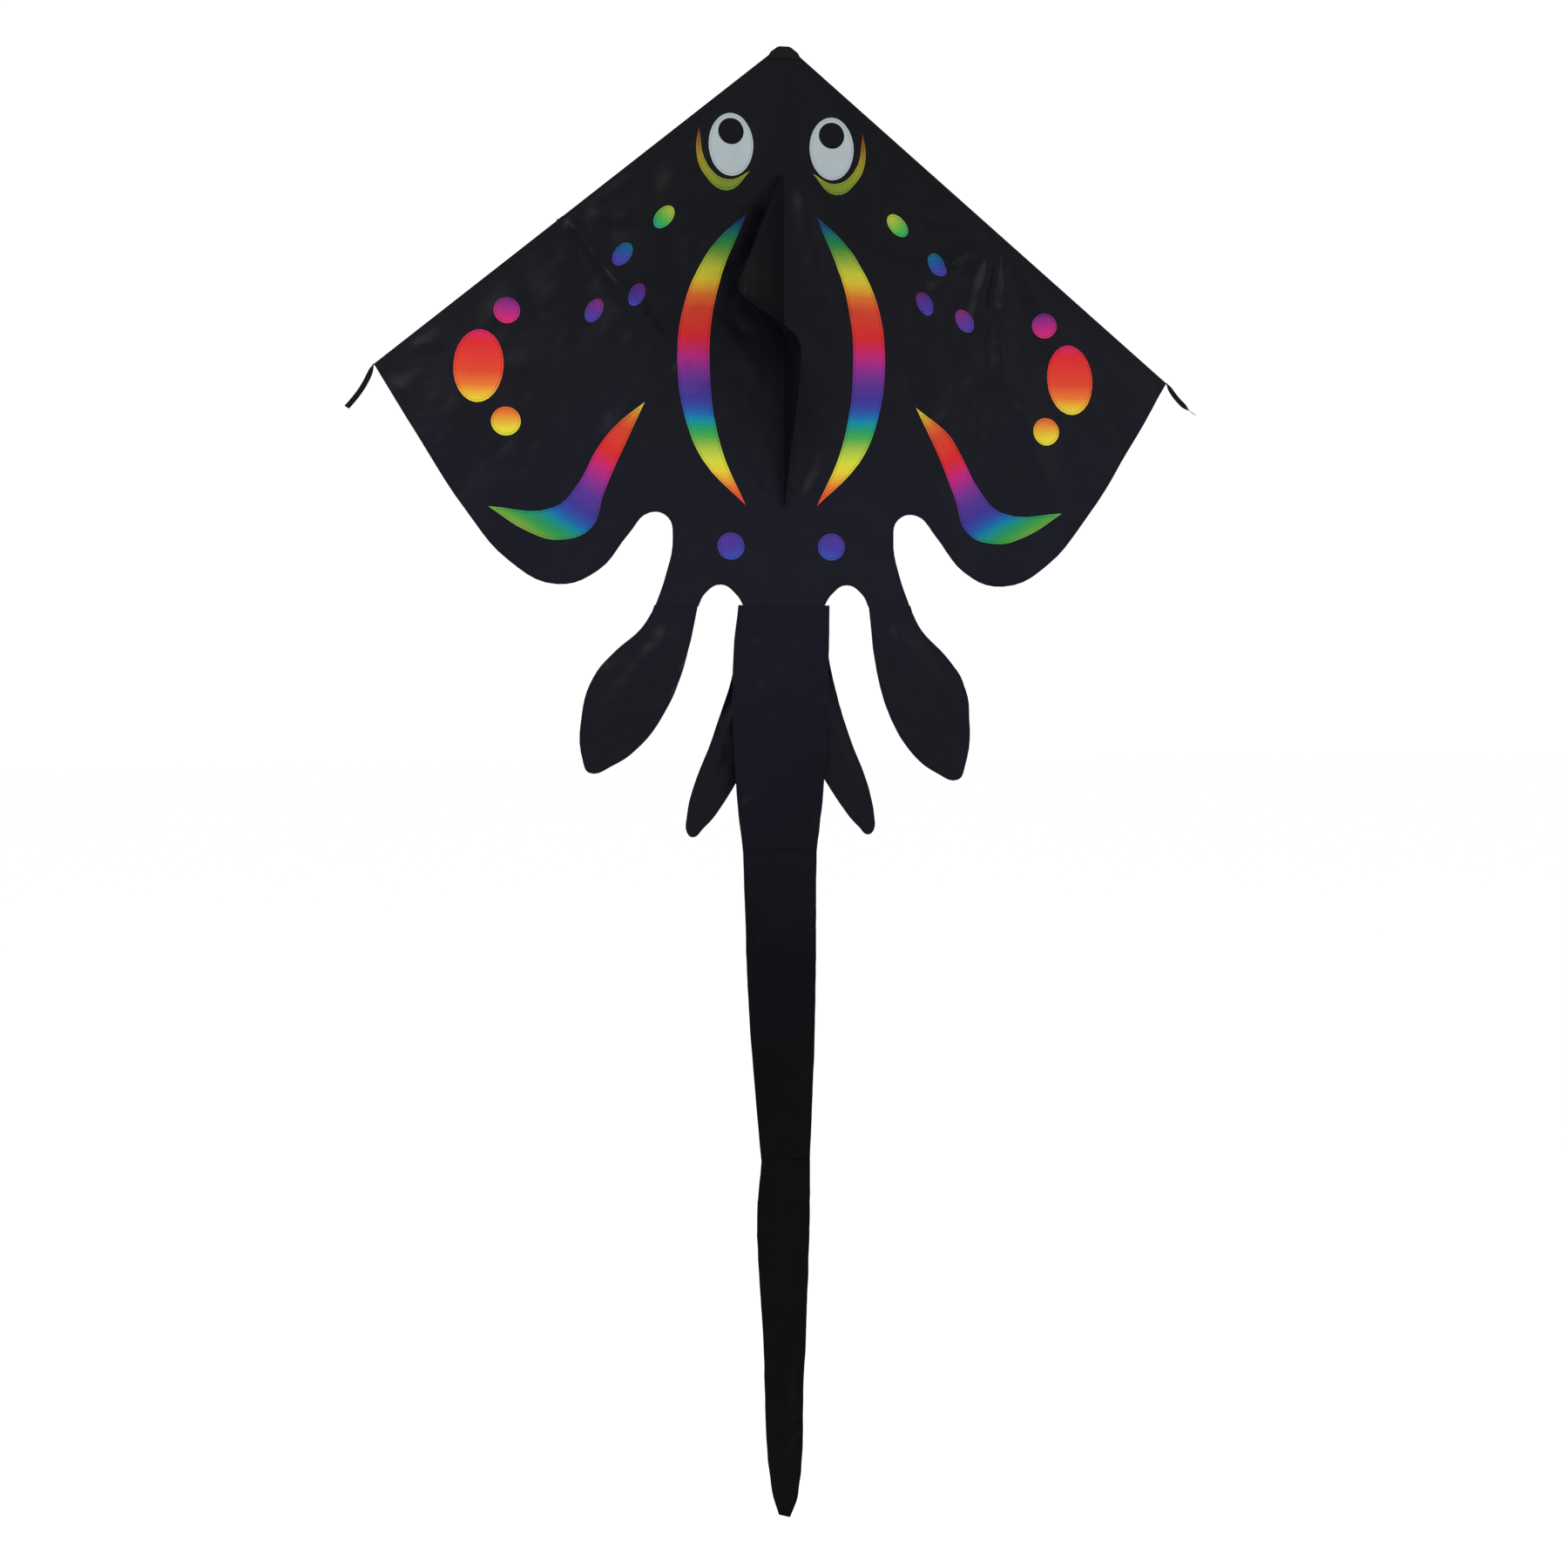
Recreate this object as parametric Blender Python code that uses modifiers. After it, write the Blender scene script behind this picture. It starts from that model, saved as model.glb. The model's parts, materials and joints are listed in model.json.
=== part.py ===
"""Manta-ray delta kite, hanging by its nose.

The row frame has its origin at the top of the nose, +Z up, +X to the right of someone who
looks at the face, and +Y towards the back, where the spars are. Everything is in metres.
The wings fold forward about the spine, the keel swings on the same line, the lobes and the
three tail panels swing on their seams, and the spreader unhooks straight backwards.
"""

import math

import bmesh
import bpy
from mathutils import Matrix, Vector

MM = 0.001
COLLECTION = "manta_ray_kite"
LEFT = -1
RIGHT = 1
SIDES = {"left": LEFT, "right": RIGHT}

# Cloth layers, from the face (-Y) to the back (+Y)
CLOTH = 0.6 * MM
SAIL_Y = 0.0
PATCH_Y = -0.9 * MM
PUPIL_Y = -1.8 * MM
INNER_LOBE_Y = 1.6 * MM

# Frame
ROD_RADIUS = 2.5 * MM
ROD_Y = 4.6 * MM
SLEEVE_RADIUS = 3.1 * MM
SLEEVE_WALL = 0.6 * MM
CAP_RADIUS = 3.8 * MM
CAP_BORE = 2.8 * MM
CAP_LENGTH = 14 * MM
CAP_FLOOR = 1.6 * MM
FIT_GAP = 0.3 * MM

# Sail: the leading edge is straight from the nose to the wing tip
NOSE_HALF_WIDTH = 20 * MM
NOSE_CAP_HEIGHT = 16 * MM
SAIL_TOP = -16.6 * MM
LEADING_EDGE_START = Vector((20 * MM, -10 * MM))
WING_TIP = Vector((763 * MM, -618 * MM))
CENTRE_GAP = 1.5 * MM
SEAM_Z = -1058 * MM
SEAM_GAP = 1.0 * MM
SAIL_BOTTOM = SEAM_Z + 0.5 * MM

# Leading-edge rods: how far into the sail they lie, and their ends along the leading edge
ROD_INSET = 5.0 * MM
ROD_FROM = 26 * MM
ROD_TO = (WING_TIP - LEADING_EDGE_START).length - 16 * MM

# Spreader: it hooks over the leading-edge rods, which are bare between their two sleeves
SPREADER_Z = -344 * MM
SPREADER_Y = 12.2 * MM
SPREADER_RADIUS = 2.75 * MM
HOOK_OPENING = 22 * MM

# Spine
SPINE_TOP = -6 * MM
SPINE_BOTTOM = -998 * MM

# Keel: a triangle of cloth on the centre line, with its tow corner forward of it
KEEL_TOP = -243 * MM
KEEL_TOW = -481 * MM
KEEL_BOTTOM = -866 * MM
KEEL_DEPTH = 205 * MM
KEEL_START = 6 * MM
KEEL_END_DEPTH = 14 * MM
KEEL_CORNER = 14 * MM
KEEL_LEAN_UPPER = math.radians(36)
KEEL_LEAN_LOWER = math.radians(4)
KEEL_LEAN_FROM = -493 * MM
KEEL_LEAN_TO = -560 * MM
EYELET_DEPTH = 180 * MM
EYELET_HOLE = 5.0 * MM
EYELET_BARREL = 5.9 * MM
EYELET_FLANGE = 9.5 * MM
EYELET_FLANGE_THICKNESS = 0.8 * MM

# Tail: three panels, each sewn to the one above
TAIL_JOINTS = (-1058 * MM, -1520 * MM, -2105 * MM)

# Wing-tip ribbons: direction and length on each side
RIBBON_WIDTH = 10 * MM
RIBBON_START = 3.6 * MM
RIBBONS = {
    "left": (Vector((-48.5, -80.5)), 94 * MM),
    "right": (Vector((58, -61)), 84 * MM),
}

# How the cloth hangs, as seen from the face. The patches lie a little to the left. Each outer
# lobe leans to the left by so much for each millimetre down, and hangs so much longer or shorter.
PATCH_LIE = -5.0 * MM
LOBE_LIES = {LEFT: (0.040, 0.966), RIGHT: (0.050, 1.031)}

# name: (base colour, roughness, metallic)
FINISHES = {
    "ripstop_black": ((0.012, 0.012, 0.015), 0.45, 0.0),
    "ripstop_white": ((0.35, 0.40, 0.43), 0.5, 0.0),
    "rainbow_green": ((0.12, 0.42, 0.08), 0.5, 0.0),
    "rainbow_blue": ((0.02, 0.08, 0.38), 0.5, 0.0),
    "rainbow_violet": ((0.13, 0.03, 0.28), 0.5, 0.0),
    "rainbow_magenta": ((0.42, 0.02, 0.17), 0.5, 0.0),
    "rainbow_red": ((0.72, 0.05, 0.03), 0.5, 0.0),
    "rainbow_orange": ((0.85, 0.42, 0.03), 0.5, 0.0),
    "rainbow_yellow": ((0.55, 0.52, 0.06), 0.5, 0.0),
    "webbing_black": ((0.015, 0.015, 0.017), 0.75, 0.0),
    "ribbon_black": ((0.014, 0.014, 0.016), 0.6, 0.0),
    "fibreglass": ((0.03, 0.03, 0.035), 0.35, 0.0),
    "moulded_nylon": ((0.02, 0.02, 0.02), 0.4, 0.0),
    "vinyl": ((0.02, 0.02, 0.022), 0.3, 0.0),
    "eyelet_metal": ((0.04, 0.04, 0.045), 0.4, 1.0),
}


def collection_named(name):
    made = bpy.data.collections.new(name)
    bpy.context.scene.collection.children.link(made)
    return made


def place(obj, collection):
    """Moves obj from wherever it was made into the given collection."""
    for holder in list(obj.users_collection):
        holder.objects.unlink(obj)
    collection.objects.link(obj)
    return obj


def finish(obj, kind):
    """Gives obj a material of its own, with the values of that finish."""
    colour, roughness, metallic = FINISHES[kind]
    material = bpy.data.materials.new(f"{obj.name}_{kind}")
    material.use_nodes = True
    shader = material.node_tree.nodes["Principled BSDF"]
    shader.inputs["Base Color"].default_value = (*colour, 1.0)
    shader.inputs["Roughness"].default_value = roughness
    shader.inputs["Metallic"].default_value = metallic
    obj.data.materials.clear()
    obj.data.materials.append(material)
    return obj


def set_origin(obj, point):
    """Moves a mesh or curve object's origin to point, and leaves its shape where it is."""
    bpy.context.view_layer.update()
    local = obj.matrix_world.inverted() @ Vector(point)
    obj.data.transform(Matrix.Translation(-local))
    obj.matrix_world = obj.matrix_world @ Matrix.Translation(local)
    return obj


def flat_sheet(name, outline, y, kind, smooth=(), thickness=CLOTH, resolution=5):
    """A flat piece of cloth in the XZ plane.

    outline holds (x, z) points, and smooth the indices of those that the edge runs round in a
    curve. The others are corners.
    """
    curve = bpy.data.curves.new(name, "CURVE")
    curve.dimensions = "2D"
    curve.fill_mode = "BOTH"
    curve.resolution_u = resolution
    curve.extrude = thickness / 2
    spline = curve.splines.new("BEZIER")
    spline.bezier_points.add(len(outline) - 1)
    spline.use_cyclic_u = True
    for index, (point, (x, z)) in enumerate(zip(spline.bezier_points, outline)):
        point.co = (x, z, 0)
        handle = "AUTO" if index in smooth else "VECTOR"
        point.handle_left_type = handle
        point.handle_right_type = handle
    obj = bpy.data.objects.new(name, curve)
    obj.rotation_euler = (math.pi / 2, 0, 0)
    obj.location = (0, y, 0)
    place(obj, PARTS)
    return finish(obj, kind)


def ellipse(centre, radii, tilt_deg=0.0, steps=32):
    """Outline of an ellipse, tilted anticlockwise as seen from the face."""
    cos, sin = math.cos(math.radians(tilt_deg)), math.sin(math.radians(tilt_deg))
    points = []
    for step in range(steps):
        angle = 2 * math.pi * step / steps
        along, across = radii[0] * math.cos(angle), radii[1] * math.sin(angle)
        x = centre[0] + along * cos - across * sin
        points.append((x, centre[1] + along * sin + across * cos))
    return points


def on_side(points, side):
    """The right wing's points in millimetres, as metres on the given side."""
    return [(side * x * MM, z * MM) for x, z in points]


def on_face(points, side):
    """The same for a patch, with the way that the patches lie."""
    return [(x + PATCH_LIE, z) for x, z in on_side(points, side)]


def aligned(direction):
    """Rotation that turns +Z to the direction."""
    return Vector(direction).to_track_quat("Z", "Y").to_matrix().to_4x4()


def rod(name, start, end, radius, kind="fibreglass", sides=16):
    """A solid round bar with a small chamfer at each end."""
    start, end = Vector(start), Vector(end)
    bpy.ops.mesh.primitive_cylinder_add(vertices=sides, radius=radius, depth=(end - start).length)
    obj = bpy.context.object
    obj.name = name
    obj.matrix_world = Matrix.Translation((start + end) / 2) @ aligned(end - start)
    bevel = obj.modifiers.new("end_chamfer", "BEVEL")
    bevel.width = 0.4 * MM
    bevel.segments = 1
    bevel.limit_method = "ANGLE"
    bevel.angle_limit = math.radians(60)
    obj.data.shade_smooth()
    obj.data.set_sharp_from_angle(angle=math.radians(40))
    place(obj, PARTS)
    return finish(obj, kind)


def sleeve(name, start, end, kind="ripstop_black"):
    """An open tube of cloth that a rod slides into."""
    start, end = Vector(start), Vector(end)
    bpy.ops.mesh.primitive_cylinder_add(
        vertices=16, radius=SLEEVE_RADIUS, depth=(end - start).length, end_fill_type="NOTHING"
    )
    obj = bpy.context.object
    obj.name = name
    obj.matrix_world = Matrix.Translation((start + end) / 2) @ aligned(end - start)
    wall = obj.modifiers.new("wall", "SOLIDIFY")
    wall.thickness = SLEEVE_WALL
    wall.offset = 1.0
    obj.data.shade_smooth()
    obj.data.set_sharp_from_angle(angle=math.radians(40))
    place(obj, PARTS)
    return finish(obj, kind)


def turned(name, profile, origin, direction, kind, closed=True, steps=24):
    """A profile of (radius, height) points turned about the direction through origin.

    The profile runs clockwise. It is a ring's section if closed, or else it starts and
    ends on the axis of turning.
    """
    mesh = bpy.data.meshes.new(name)
    shape = bmesh.new()
    corners = [shape.verts.new((r, 0, h)) for r, h in profile]
    following = corners[1:] + corners[:1] if closed else corners[1:]
    for first, second in zip(corners, following):
        shape.edges.new((first, second))
    shape.to_mesh(mesh)
    shape.free()
    obj = bpy.data.objects.new(name, mesh)
    obj.matrix_world = Matrix.Translation(origin) @ aligned(direction)
    place(obj, PARTS)
    screw = obj.modifiers.new("turn", "SCREW")
    screw.steps = steps
    screw.render_steps = steps
    screw.use_merge_vertices = True
    screw.merge_threshold = 0.00001
    return finish(obj, kind)


def end_cap(name, rod_end, direction, kind="vinyl"):
    """A cup pushed over a rod's end. direction points out of the rod."""
    mouth = CAP_FLOOR + FIT_GAP - CAP_LENGTH
    floor = FIT_GAP
    top = CAP_FLOOR + FIT_GAP
    rounding = 0.8 * MM
    profile = [
        (0, top),
        (CAP_RADIUS - rounding, top),
        (CAP_RADIUS, top - rounding),
        (CAP_RADIUS, mouth),
        (CAP_BORE, mouth),
        (CAP_BORE, floor),
        (0, floor),
    ]
    return turned(name, profile, rod_end, direction, kind, closed=False)


def leading_edge(side, along, inset=0.0):
    """A point on the leading edge, along metres from its start, moved inset metres into the sail."""
    edge = WING_TIP - LEADING_EDGE_START
    unit = edge.normalized()
    inward = Vector((unit.y, -unit.x))
    point = LEADING_EDGE_START + unit * along + inward * inset
    return Vector((side * point.x, ROD_Y, point.y))


def leading_edge_direction(side):
    edge = (WING_TIP - LEADING_EDGE_START).normalized()
    return Vector((side * edge.x, 0, edge.y))


def hook_along():
    """How far down the leading edge the rod's axis is level with the spreader."""
    first = leading_edge(RIGHT, 0, ROD_INSET)
    step = leading_edge_direction(RIGHT)
    return (SPREADER_Z - first.z) / step.z


def sail(name, side):
    outline = [
        (CENTRE_GAP / MM, SAIL_TOP / MM),
        (28, SAIL_TOP / MM),
        (763, -618),
        (686, -745),
        (597, -883),
        (519, -974),
        (430, -1017),
        (353, -991),
        (295, -922),
        (257, -883),
        (222, -891),
        (213, -930),
        (226, -1000),
        (246, SAIL_BOTTOM / MM),
        (164, SAIL_BOTTOM / MM),
        (152, -1034),
        (121, -1016),
        (92, -1034),
        (77, SAIL_BOTTOM / MM),
        (CENTRE_GAP / MM, SAIL_BOTTOM / MM),
    ]
    smooth = (3, 4, 5, 6, 7, 8, 9, 10, 11, 12, 15, 16, 17)
    return flat_sheet(name, on_side(outline, side), SAIL_Y, "ripstop_black", smooth)


def outer_lobe(name, side):
    top = (SEAM_Z - SEAM_GAP) / MM
    outline = [
        (246.5, top),
        (271, -1100),
        (318, -1144),
        (357, -1195),
        (375, -1265),
        (370, -1355),
        (357, -1377),
        (314, -1364),
        (262, -1325),
        (218, -1260),
        (188, -1180),
        (164.5, top),
    ]
    lean, stretch = LOBE_LIES[side]
    hung = [(x + side * lean * (z - top), top + (z - top) * stretch) for x, z in outline]
    obj = flat_sheet(name, on_side(hung, side), SAIL_Y, "ripstop_black", range(1, 11))
    return set_origin(obj, (side * 205 * MM, SAIL_Y, SEAM_Z))


def inner_lobe(name, side):
    top = (SEAM_Z - 2 * SEAM_GAP) / MM
    outline = [
        (75, top),
        (98, -1192),
        (132, -1301),
        (170, -1400),
        (182, -1454),
        (181, -1482),
        (170, -1491),
        (150, -1475),
        (121, -1441),
        (66, -1345),
        (38, -1220),
        (35, top),
    ]
    obj = flat_sheet(name, on_side(outline, side), INNER_LOBE_Y, "ripstop_black", range(1, 11))
    return set_origin(obj, (side * 55 * MM, INNER_LOBE_Y, SEAM_Z - SEAM_GAP))


def tail_panel(name, left_edge, right_edge, joint_z):
    """One tail panel: its left edge going down, then its right edge coming up."""
    outline = [(x * MM, z * MM) for x, z in left_edge + right_edge]
    corners = {0, len(left_edge) - 1, len(left_edge), len(outline) - 1}
    smooth = set(range(len(outline))) - corners
    obj = flat_sheet(name, outline, SAIL_Y, "ripstop_black", smooth)
    return set_origin(obj, (0, SAIL_Y, joint_z))


def tail():
    first, second, third = (z / MM for z in TAIL_JOINTS)
    gap = SEAM_GAP / MM
    tail_panel(
        "tail_upper",
        [(-88, first - gap), (-97, -1140), (-92, -1398), (-79, second + gap)],
        [(63, second + gap), (78, -1390), (87, -1160), (88, first - gap)],
        TAIL_JOINTS[0],
    )
    tail_panel(
        "tail_middle",
        [(-79, second - gap), (-69, -1798), (-44, third + gap)],
        [(50, third + gap), (60, -1840), (63, second - gap)],
        TAIL_JOINTS[1],
    )
    tail_panel(
        "tail_lower",
        [(-44, third - gap), (-52, -2190), (-41, -2420), (-24, -2720), (-10, -2768)],
        [(12, -2775), (26, -2735), (38, -2520), (50, -2200), (50, third - gap)],
        TAIL_JOINTS[2],
    )


def face_patches(name, side):
    """The coloured cloth shapes sewn on one wing. Positions are the right wing's, in millimetres."""
    suffix = f"_{name}"
    white = on_face(ellipse((97, -190), (42.7, 59.3)), side)
    flat_sheet(f"eye_white{suffix}", white, PATCH_Y, "ripstop_white", resolution=1)
    pupil = on_face(ellipse((97, -165), (24.7, 24.7)), side)
    flat_sheet(f"pupil{suffix}", pupil, PUPIL_Y, "ripstop_black", resolution=1)
    crescent = [(158, -159), (163, -205), (146, -250), (105, -277), (60, -238), (103, -256), (141, -231)]
    flat_sheet(f"eye_crescent{suffix}", on_face(crescent, side), PATCH_Y, "rainbow_yellow", (1, 2, 3, 5, 6))
    spots = {
        "spot_green": ((224.7, -331.2), (25.3, 15.5), 131, "rainbow_green"),
        "spot_blue": ((302.8, -403.4), (24.5, 15.5), 127, "rainbow_blue"),
        "spot_violet_inner": ((277.0, -478.7), (24.0, 14.5), 119, "rainbow_violet"),
        "spot_violet_outer": ((355.8, -509.6), (24.0, 15.0), 120, "rainbow_violet"),
        "spot_magenta": ((517.0, -513.8), (24.5, 24.0), 0, "rainbow_magenta"),
        "spot_red": ((568.8, -617.0), (67.5, 46.0), 95, "rainbow_red"),
        "spot_orange": ((518.9, -718.0), (27.3, 26.6), 0, "rainbow_orange"),
        "spot_indigo": ((96.8, -943.5), (26.0, 25.6), 0, "rainbow_blue"),
    }
    for title, (centre, radii, tilt, kind) in spots.items():
        outline = on_face(ellipse(centre, radii, tilt, 24), side)
        flat_sheet(f"{title}{suffix}", outline, PATCH_Y, kind, resolution=1)
    stripe = [
        (67, -319),
        (118, -364),
        (154, -414),
        (187, -494),
        (200, -590),
        (186, -700),
        (149, -785),
        (69, -866),
        (116, -757),
        (138, -610),
        (124, -466),
    ]
    curved = (1, 2, 3, 4, 5, 6, 8, 9, 10)
    flat_sheet(f"long_crescent{suffix}", on_face(stripe, side), PATCH_Y, "rainbow_red", curved)
    chevron = [
        (261, -677),
        (316, -722),
        (352, -768),
        (385, -830),
        (430, -875),
        (551.5, -875),
        (479, -920),
        (420, -935),
        (362, -913),
        (338, -848),
        (301, -762),
    ]
    rounded = (1, 2, 3, 4, 6, 7, 8, 9, 10)
    flat_sheet(f"wing_chevron{suffix}", on_face(chevron, side), PATCH_Y, "rainbow_violet", rounded)


def wing_ribbon(name, side_name):
    """The narrow ribbon sewn at a wing tip, hanging along its own direction."""
    side = SIDES[side_name]
    direction, length = RIBBONS[side_name]
    unit = direction.normalized()
    across = Vector((-unit.y, unit.x)) * RIBBON_WIDTH / 2
    tip = Vector((side * WING_TIP.x, WING_TIP.y))
    start = tip + unit * RIBBON_START
    end = tip + unit * length
    outline = [tuple(start + across), tuple(end + across), tuple(end - across), tuple(start - across)]
    obj = flat_sheet(name, outline, SAIL_Y, "ribbon_black", resolution=1)
    return set_origin(obj, (tip.x, SAIL_Y, tip.y))


def wing_frame(name, side):
    """The leading-edge rod, its two sleeves and its tip cap."""
    crossing = hook_along()
    unit = leading_edge_direction(side)
    end = leading_edge(side, ROD_TO, ROD_INSET)
    rod(f"leading_edge_rod_{name}", leading_edge(side, ROD_FROM, ROD_INSET), end, ROD_RADIUS)
    sleeve(
        f"leading_edge_sleeve_upper_{name}",
        leading_edge(side, ROD_FROM - 2 * MM, ROD_INSET),
        leading_edge(side, crossing - HOOK_OPENING, ROD_INSET),
    )
    sleeve(
        f"leading_edge_sleeve_lower_{name}",
        leading_edge(side, crossing + HOOK_OPENING, ROD_INSET),
        leading_edge(side, ROD_TO - CAP_LENGTH, ROD_INSET),
    )
    end_cap(f"leading_edge_tip_cap_{name}", end, unit)


def box_mesh(name, size, matrix, collection, bevel=0.0):
    """A box of that size with its centre at the matrix's origin, and rounded edges if bevel is given."""
    bpy.ops.mesh.primitive_cube_add(size=1)
    obj = bpy.context.object
    obj.name = name
    obj.data.transform(Matrix.Diagonal((*size, 1)))
    obj.matrix_world = matrix
    if bevel:
        rounding = obj.modifiers.new("rounding", "BEVEL")
        rounding.width = bevel
        rounding.segments = 2
    return place(obj, collection)


def cylinder_mesh(name, radius, depth, matrix, collection, sides=20):
    bpy.ops.mesh.primitive_cylinder_add(vertices=sides, radius=radius, depth=depth)
    obj = bpy.context.object
    obj.name = name
    obj.matrix_world = matrix
    return place(obj, collection)


def helper(obj):
    obj.hide_render = True
    obj.display_type = "WIRE"
    return obj


def boolean(obj, other, operation):
    modifier = obj.modifiers.new(f"{operation.lower()}_{other.name}", "BOOLEAN")
    modifier.operation = operation
    modifier.solver = "EXACT"
    modifier.object = other
    return obj


def hook(name, side):
    """The moulding on a spreader end: a saddle open towards the sail, on a socket for the rod."""
    saddle_length = 16 * MM
    saddle_width = 11.6 * MM
    front = 1.4 * MM
    back = 15.8 * MM
    channel = ROD_RADIUS + FIT_GAP
    centre = leading_edge(side, hook_along(), ROD_INSET)
    turn = aligned(leading_edge_direction(side))
    saddle_at = Matrix.Translation((centre.x, (front + back) / 2, centre.z)) @ turn
    depth_axis = turn.to_3x3().inverted() @ Vector((0, 1, 0))
    across_x = abs(depth_axis.x) < 0.5
    size = [saddle_width, back - front, saddle_length]
    slot_depth = 2 * (ROD_Y - front) + 2 * channel
    slot_size = [2 * channel, slot_depth, 2 * saddle_length]
    if not across_x:
        for each in (size, slot_size):
            each[0], each[1] = each[1], each[0]
    obj = box_mesh(name, size, saddle_at, PARTS, bevel=1.2 * MM)
    slot_at = Matrix.Translation((centre.x, ROD_Y + channel - slot_depth / 2, centre.z)) @ turn
    slot = helper(box_mesh(f"{name}_slot", slot_size, slot_at, CUTTERS))
    socket_length = 34 * MM
    along_x = Matrix.Rotation(math.pi / 2, 4, "Y")
    socket_centre = centre.x - side * 9 * MM
    socket_at = Matrix.Translation((socket_centre, SPREADER_Y, centre.z)) @ along_x
    socket = helper(cylinder_mesh(f"{name}_socket", 4.4 * MM, socket_length, socket_at, CUTTERS))
    bore_at = Matrix.Translation((socket_centre - side * 5 * MM, SPREADER_Y, centre.z)) @ along_x
    bore = helper(cylinder_mesh(f"{name}_bore", SPREADER_RADIUS + FIT_GAP, socket_length, bore_at, CUTTERS))
    boolean(obj, slot, "DIFFERENCE")
    boolean(obj, socket, "UNION")
    boolean(obj, bore, "DIFFERENCE")
    return finish(obj, "moulded_nylon")


def spreader():
    """The bar across the back, with a hook at each end. It unhooks straight backwards."""
    rod_end = leading_edge(RIGHT, hook_along(), ROD_INSET).x + 2 * MM
    start = (-rod_end, SPREADER_Y, SPREADER_Z)
    end = (rod_end, SPREADER_Y, SPREADER_Z)
    rod("spreader_rod", start, end, SPREADER_RADIUS)
    for name, side in SIDES.items():
        hook(f"spreader_hook_{name}", side)


def spine():
    """The upright rod, its caps and its sleeve, on the centre line behind the sail."""
    top, bottom = (0, ROD_Y, SPINE_TOP), (0, ROD_Y, SPINE_BOTTOM)
    rod("spine_rod", bottom, top, ROD_RADIUS)
    end_cap("spine_cap_top", top, (0, 0, 1))
    end_cap("spine_cap_bottom", bottom, (0, 0, -1))
    sleeve_top = SPINE_TOP - CAP_LENGTH - 4 * MM
    sleeve_bottom = SPINE_BOTTOM + CAP_LENGTH + 4 * MM
    sleeve("spine_sleeve", (0, ROD_Y, sleeve_bottom), (0, ROD_Y, sleeve_top))


def nose_cap():
    """Webbing folded over the nose: a front wall, a back wall and the fold on top."""
    front, back = -1.3 * MM, 9.6 * MM
    wall = 0.8 * MM
    bottom = -NOSE_CAP_HEIGHT
    outline = [
        (front, bottom),
        (front, -2 * MM),
        (front + 2 * MM, 0),
        (back - 2 * MM, 0),
        (back, -2 * MM),
        (back, bottom),
        (back - wall, bottom),
        (back - wall, -2.2 * MM),
        (back - 2.2 * MM, -wall),
        (front + 2.2 * MM, -wall),
        (front + wall, -2.2 * MM),
        (front + wall, bottom),
    ]
    obj = flat_sheet("nose_cap", outline, 0, "webbing_black", thickness=2 * NOSE_HALF_WIDTH, resolution=1)
    obj.rotation_euler = (math.pi / 2, 0, math.pi / 2)
    obj.location = (0, 0, 0)
    return obj


def surface_from_grid(name, columns, rows, at, kind):
    """A sheet of cloth through at(u, v), for u and v from 0 to 1, with the cloth's thickness."""
    shape = bmesh.new()
    bmesh.ops.create_grid(shape, x_segments=columns, y_segments=rows, size=0.5)
    for vertex in shape.verts:
        vertex.co = at(vertex.co.x + 0.5, vertex.co.y + 0.5)
    bmesh.ops.recalc_face_normals(shape, faces=shape.faces)
    mesh = bpy.data.meshes.new(name)
    shape.to_mesh(mesh)
    shape.free()
    obj = bpy.data.objects.new(name, mesh)
    place(obj, PARTS)
    wall = obj.modifiers.new("cloth", "SOLIDIFY")
    wall.thickness = CLOTH
    wall.offset = 0.0
    return finish(obj, kind)


def ease(value):
    """Smooth step from 0 to 1."""
    value = min(max(value, 0.0), 1.0)
    return value * value * (3 - 2 * value)


def spine_end_pocket():
    """The triangle of cloth over the spine's lower end: raised over the rod, flat at its sides."""
    top, bottom = -962 * MM, -1050 * MM
    top_half, bottom_half = 9 * MM, 45 * MM
    flat_y, raised_y = 1.0 * MM, 9.2 * MM
    crown, skirt = 7 * MM, 26 * MM

    def at(u, v):
        z = bottom + (top - bottom) * v
        half = bottom_half + (top_half - bottom_half) * v
        x = (2 * u - 1) * half
        raised = 1 - ease((abs(x) - crown) / (skirt - crown))
        return Vector((x, flat_y + (raised_y - flat_y) * raised, z))

    return surface_from_grid("spine_end_pocket", 24, 6, at, "webbing_black")


def keel_depth(z):
    """How far the keel's free edge stands from the centre line at height z, round at the tow corner."""
    upper = KEEL_END_DEPTH + (KEEL_DEPTH - KEEL_END_DEPTH) * (KEEL_TOP - z) / (KEEL_TOP - KEEL_TOW)
    lower = KEEL_END_DEPTH + (KEEL_DEPTH - KEEL_END_DEPTH) * (z - KEEL_BOTTOM) / (KEEL_TOW - KEEL_BOTTOM)
    mix = min(max(0.5 + 0.5 * (lower - upper) / KEEL_CORNER, 0.0), 1.0)
    return lower + (upper - lower) * mix - KEEL_CORNER * mix * (1 - mix) / 2


def keel_lean(z):
    """How far the keel leans towards the left wing at height z."""
    share = ease((KEEL_LEAN_FROM - z) / (KEEL_LEAN_FROM - KEEL_LEAN_TO))
    return KEEL_LEAN_UPPER + (KEEL_LEAN_LOWER - KEEL_LEAN_UPPER) * share


def keel_point(depth, z):
    lean = keel_lean(z)
    return Vector((-depth * math.sin(lean), -depth * math.cos(lean), z))


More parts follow.
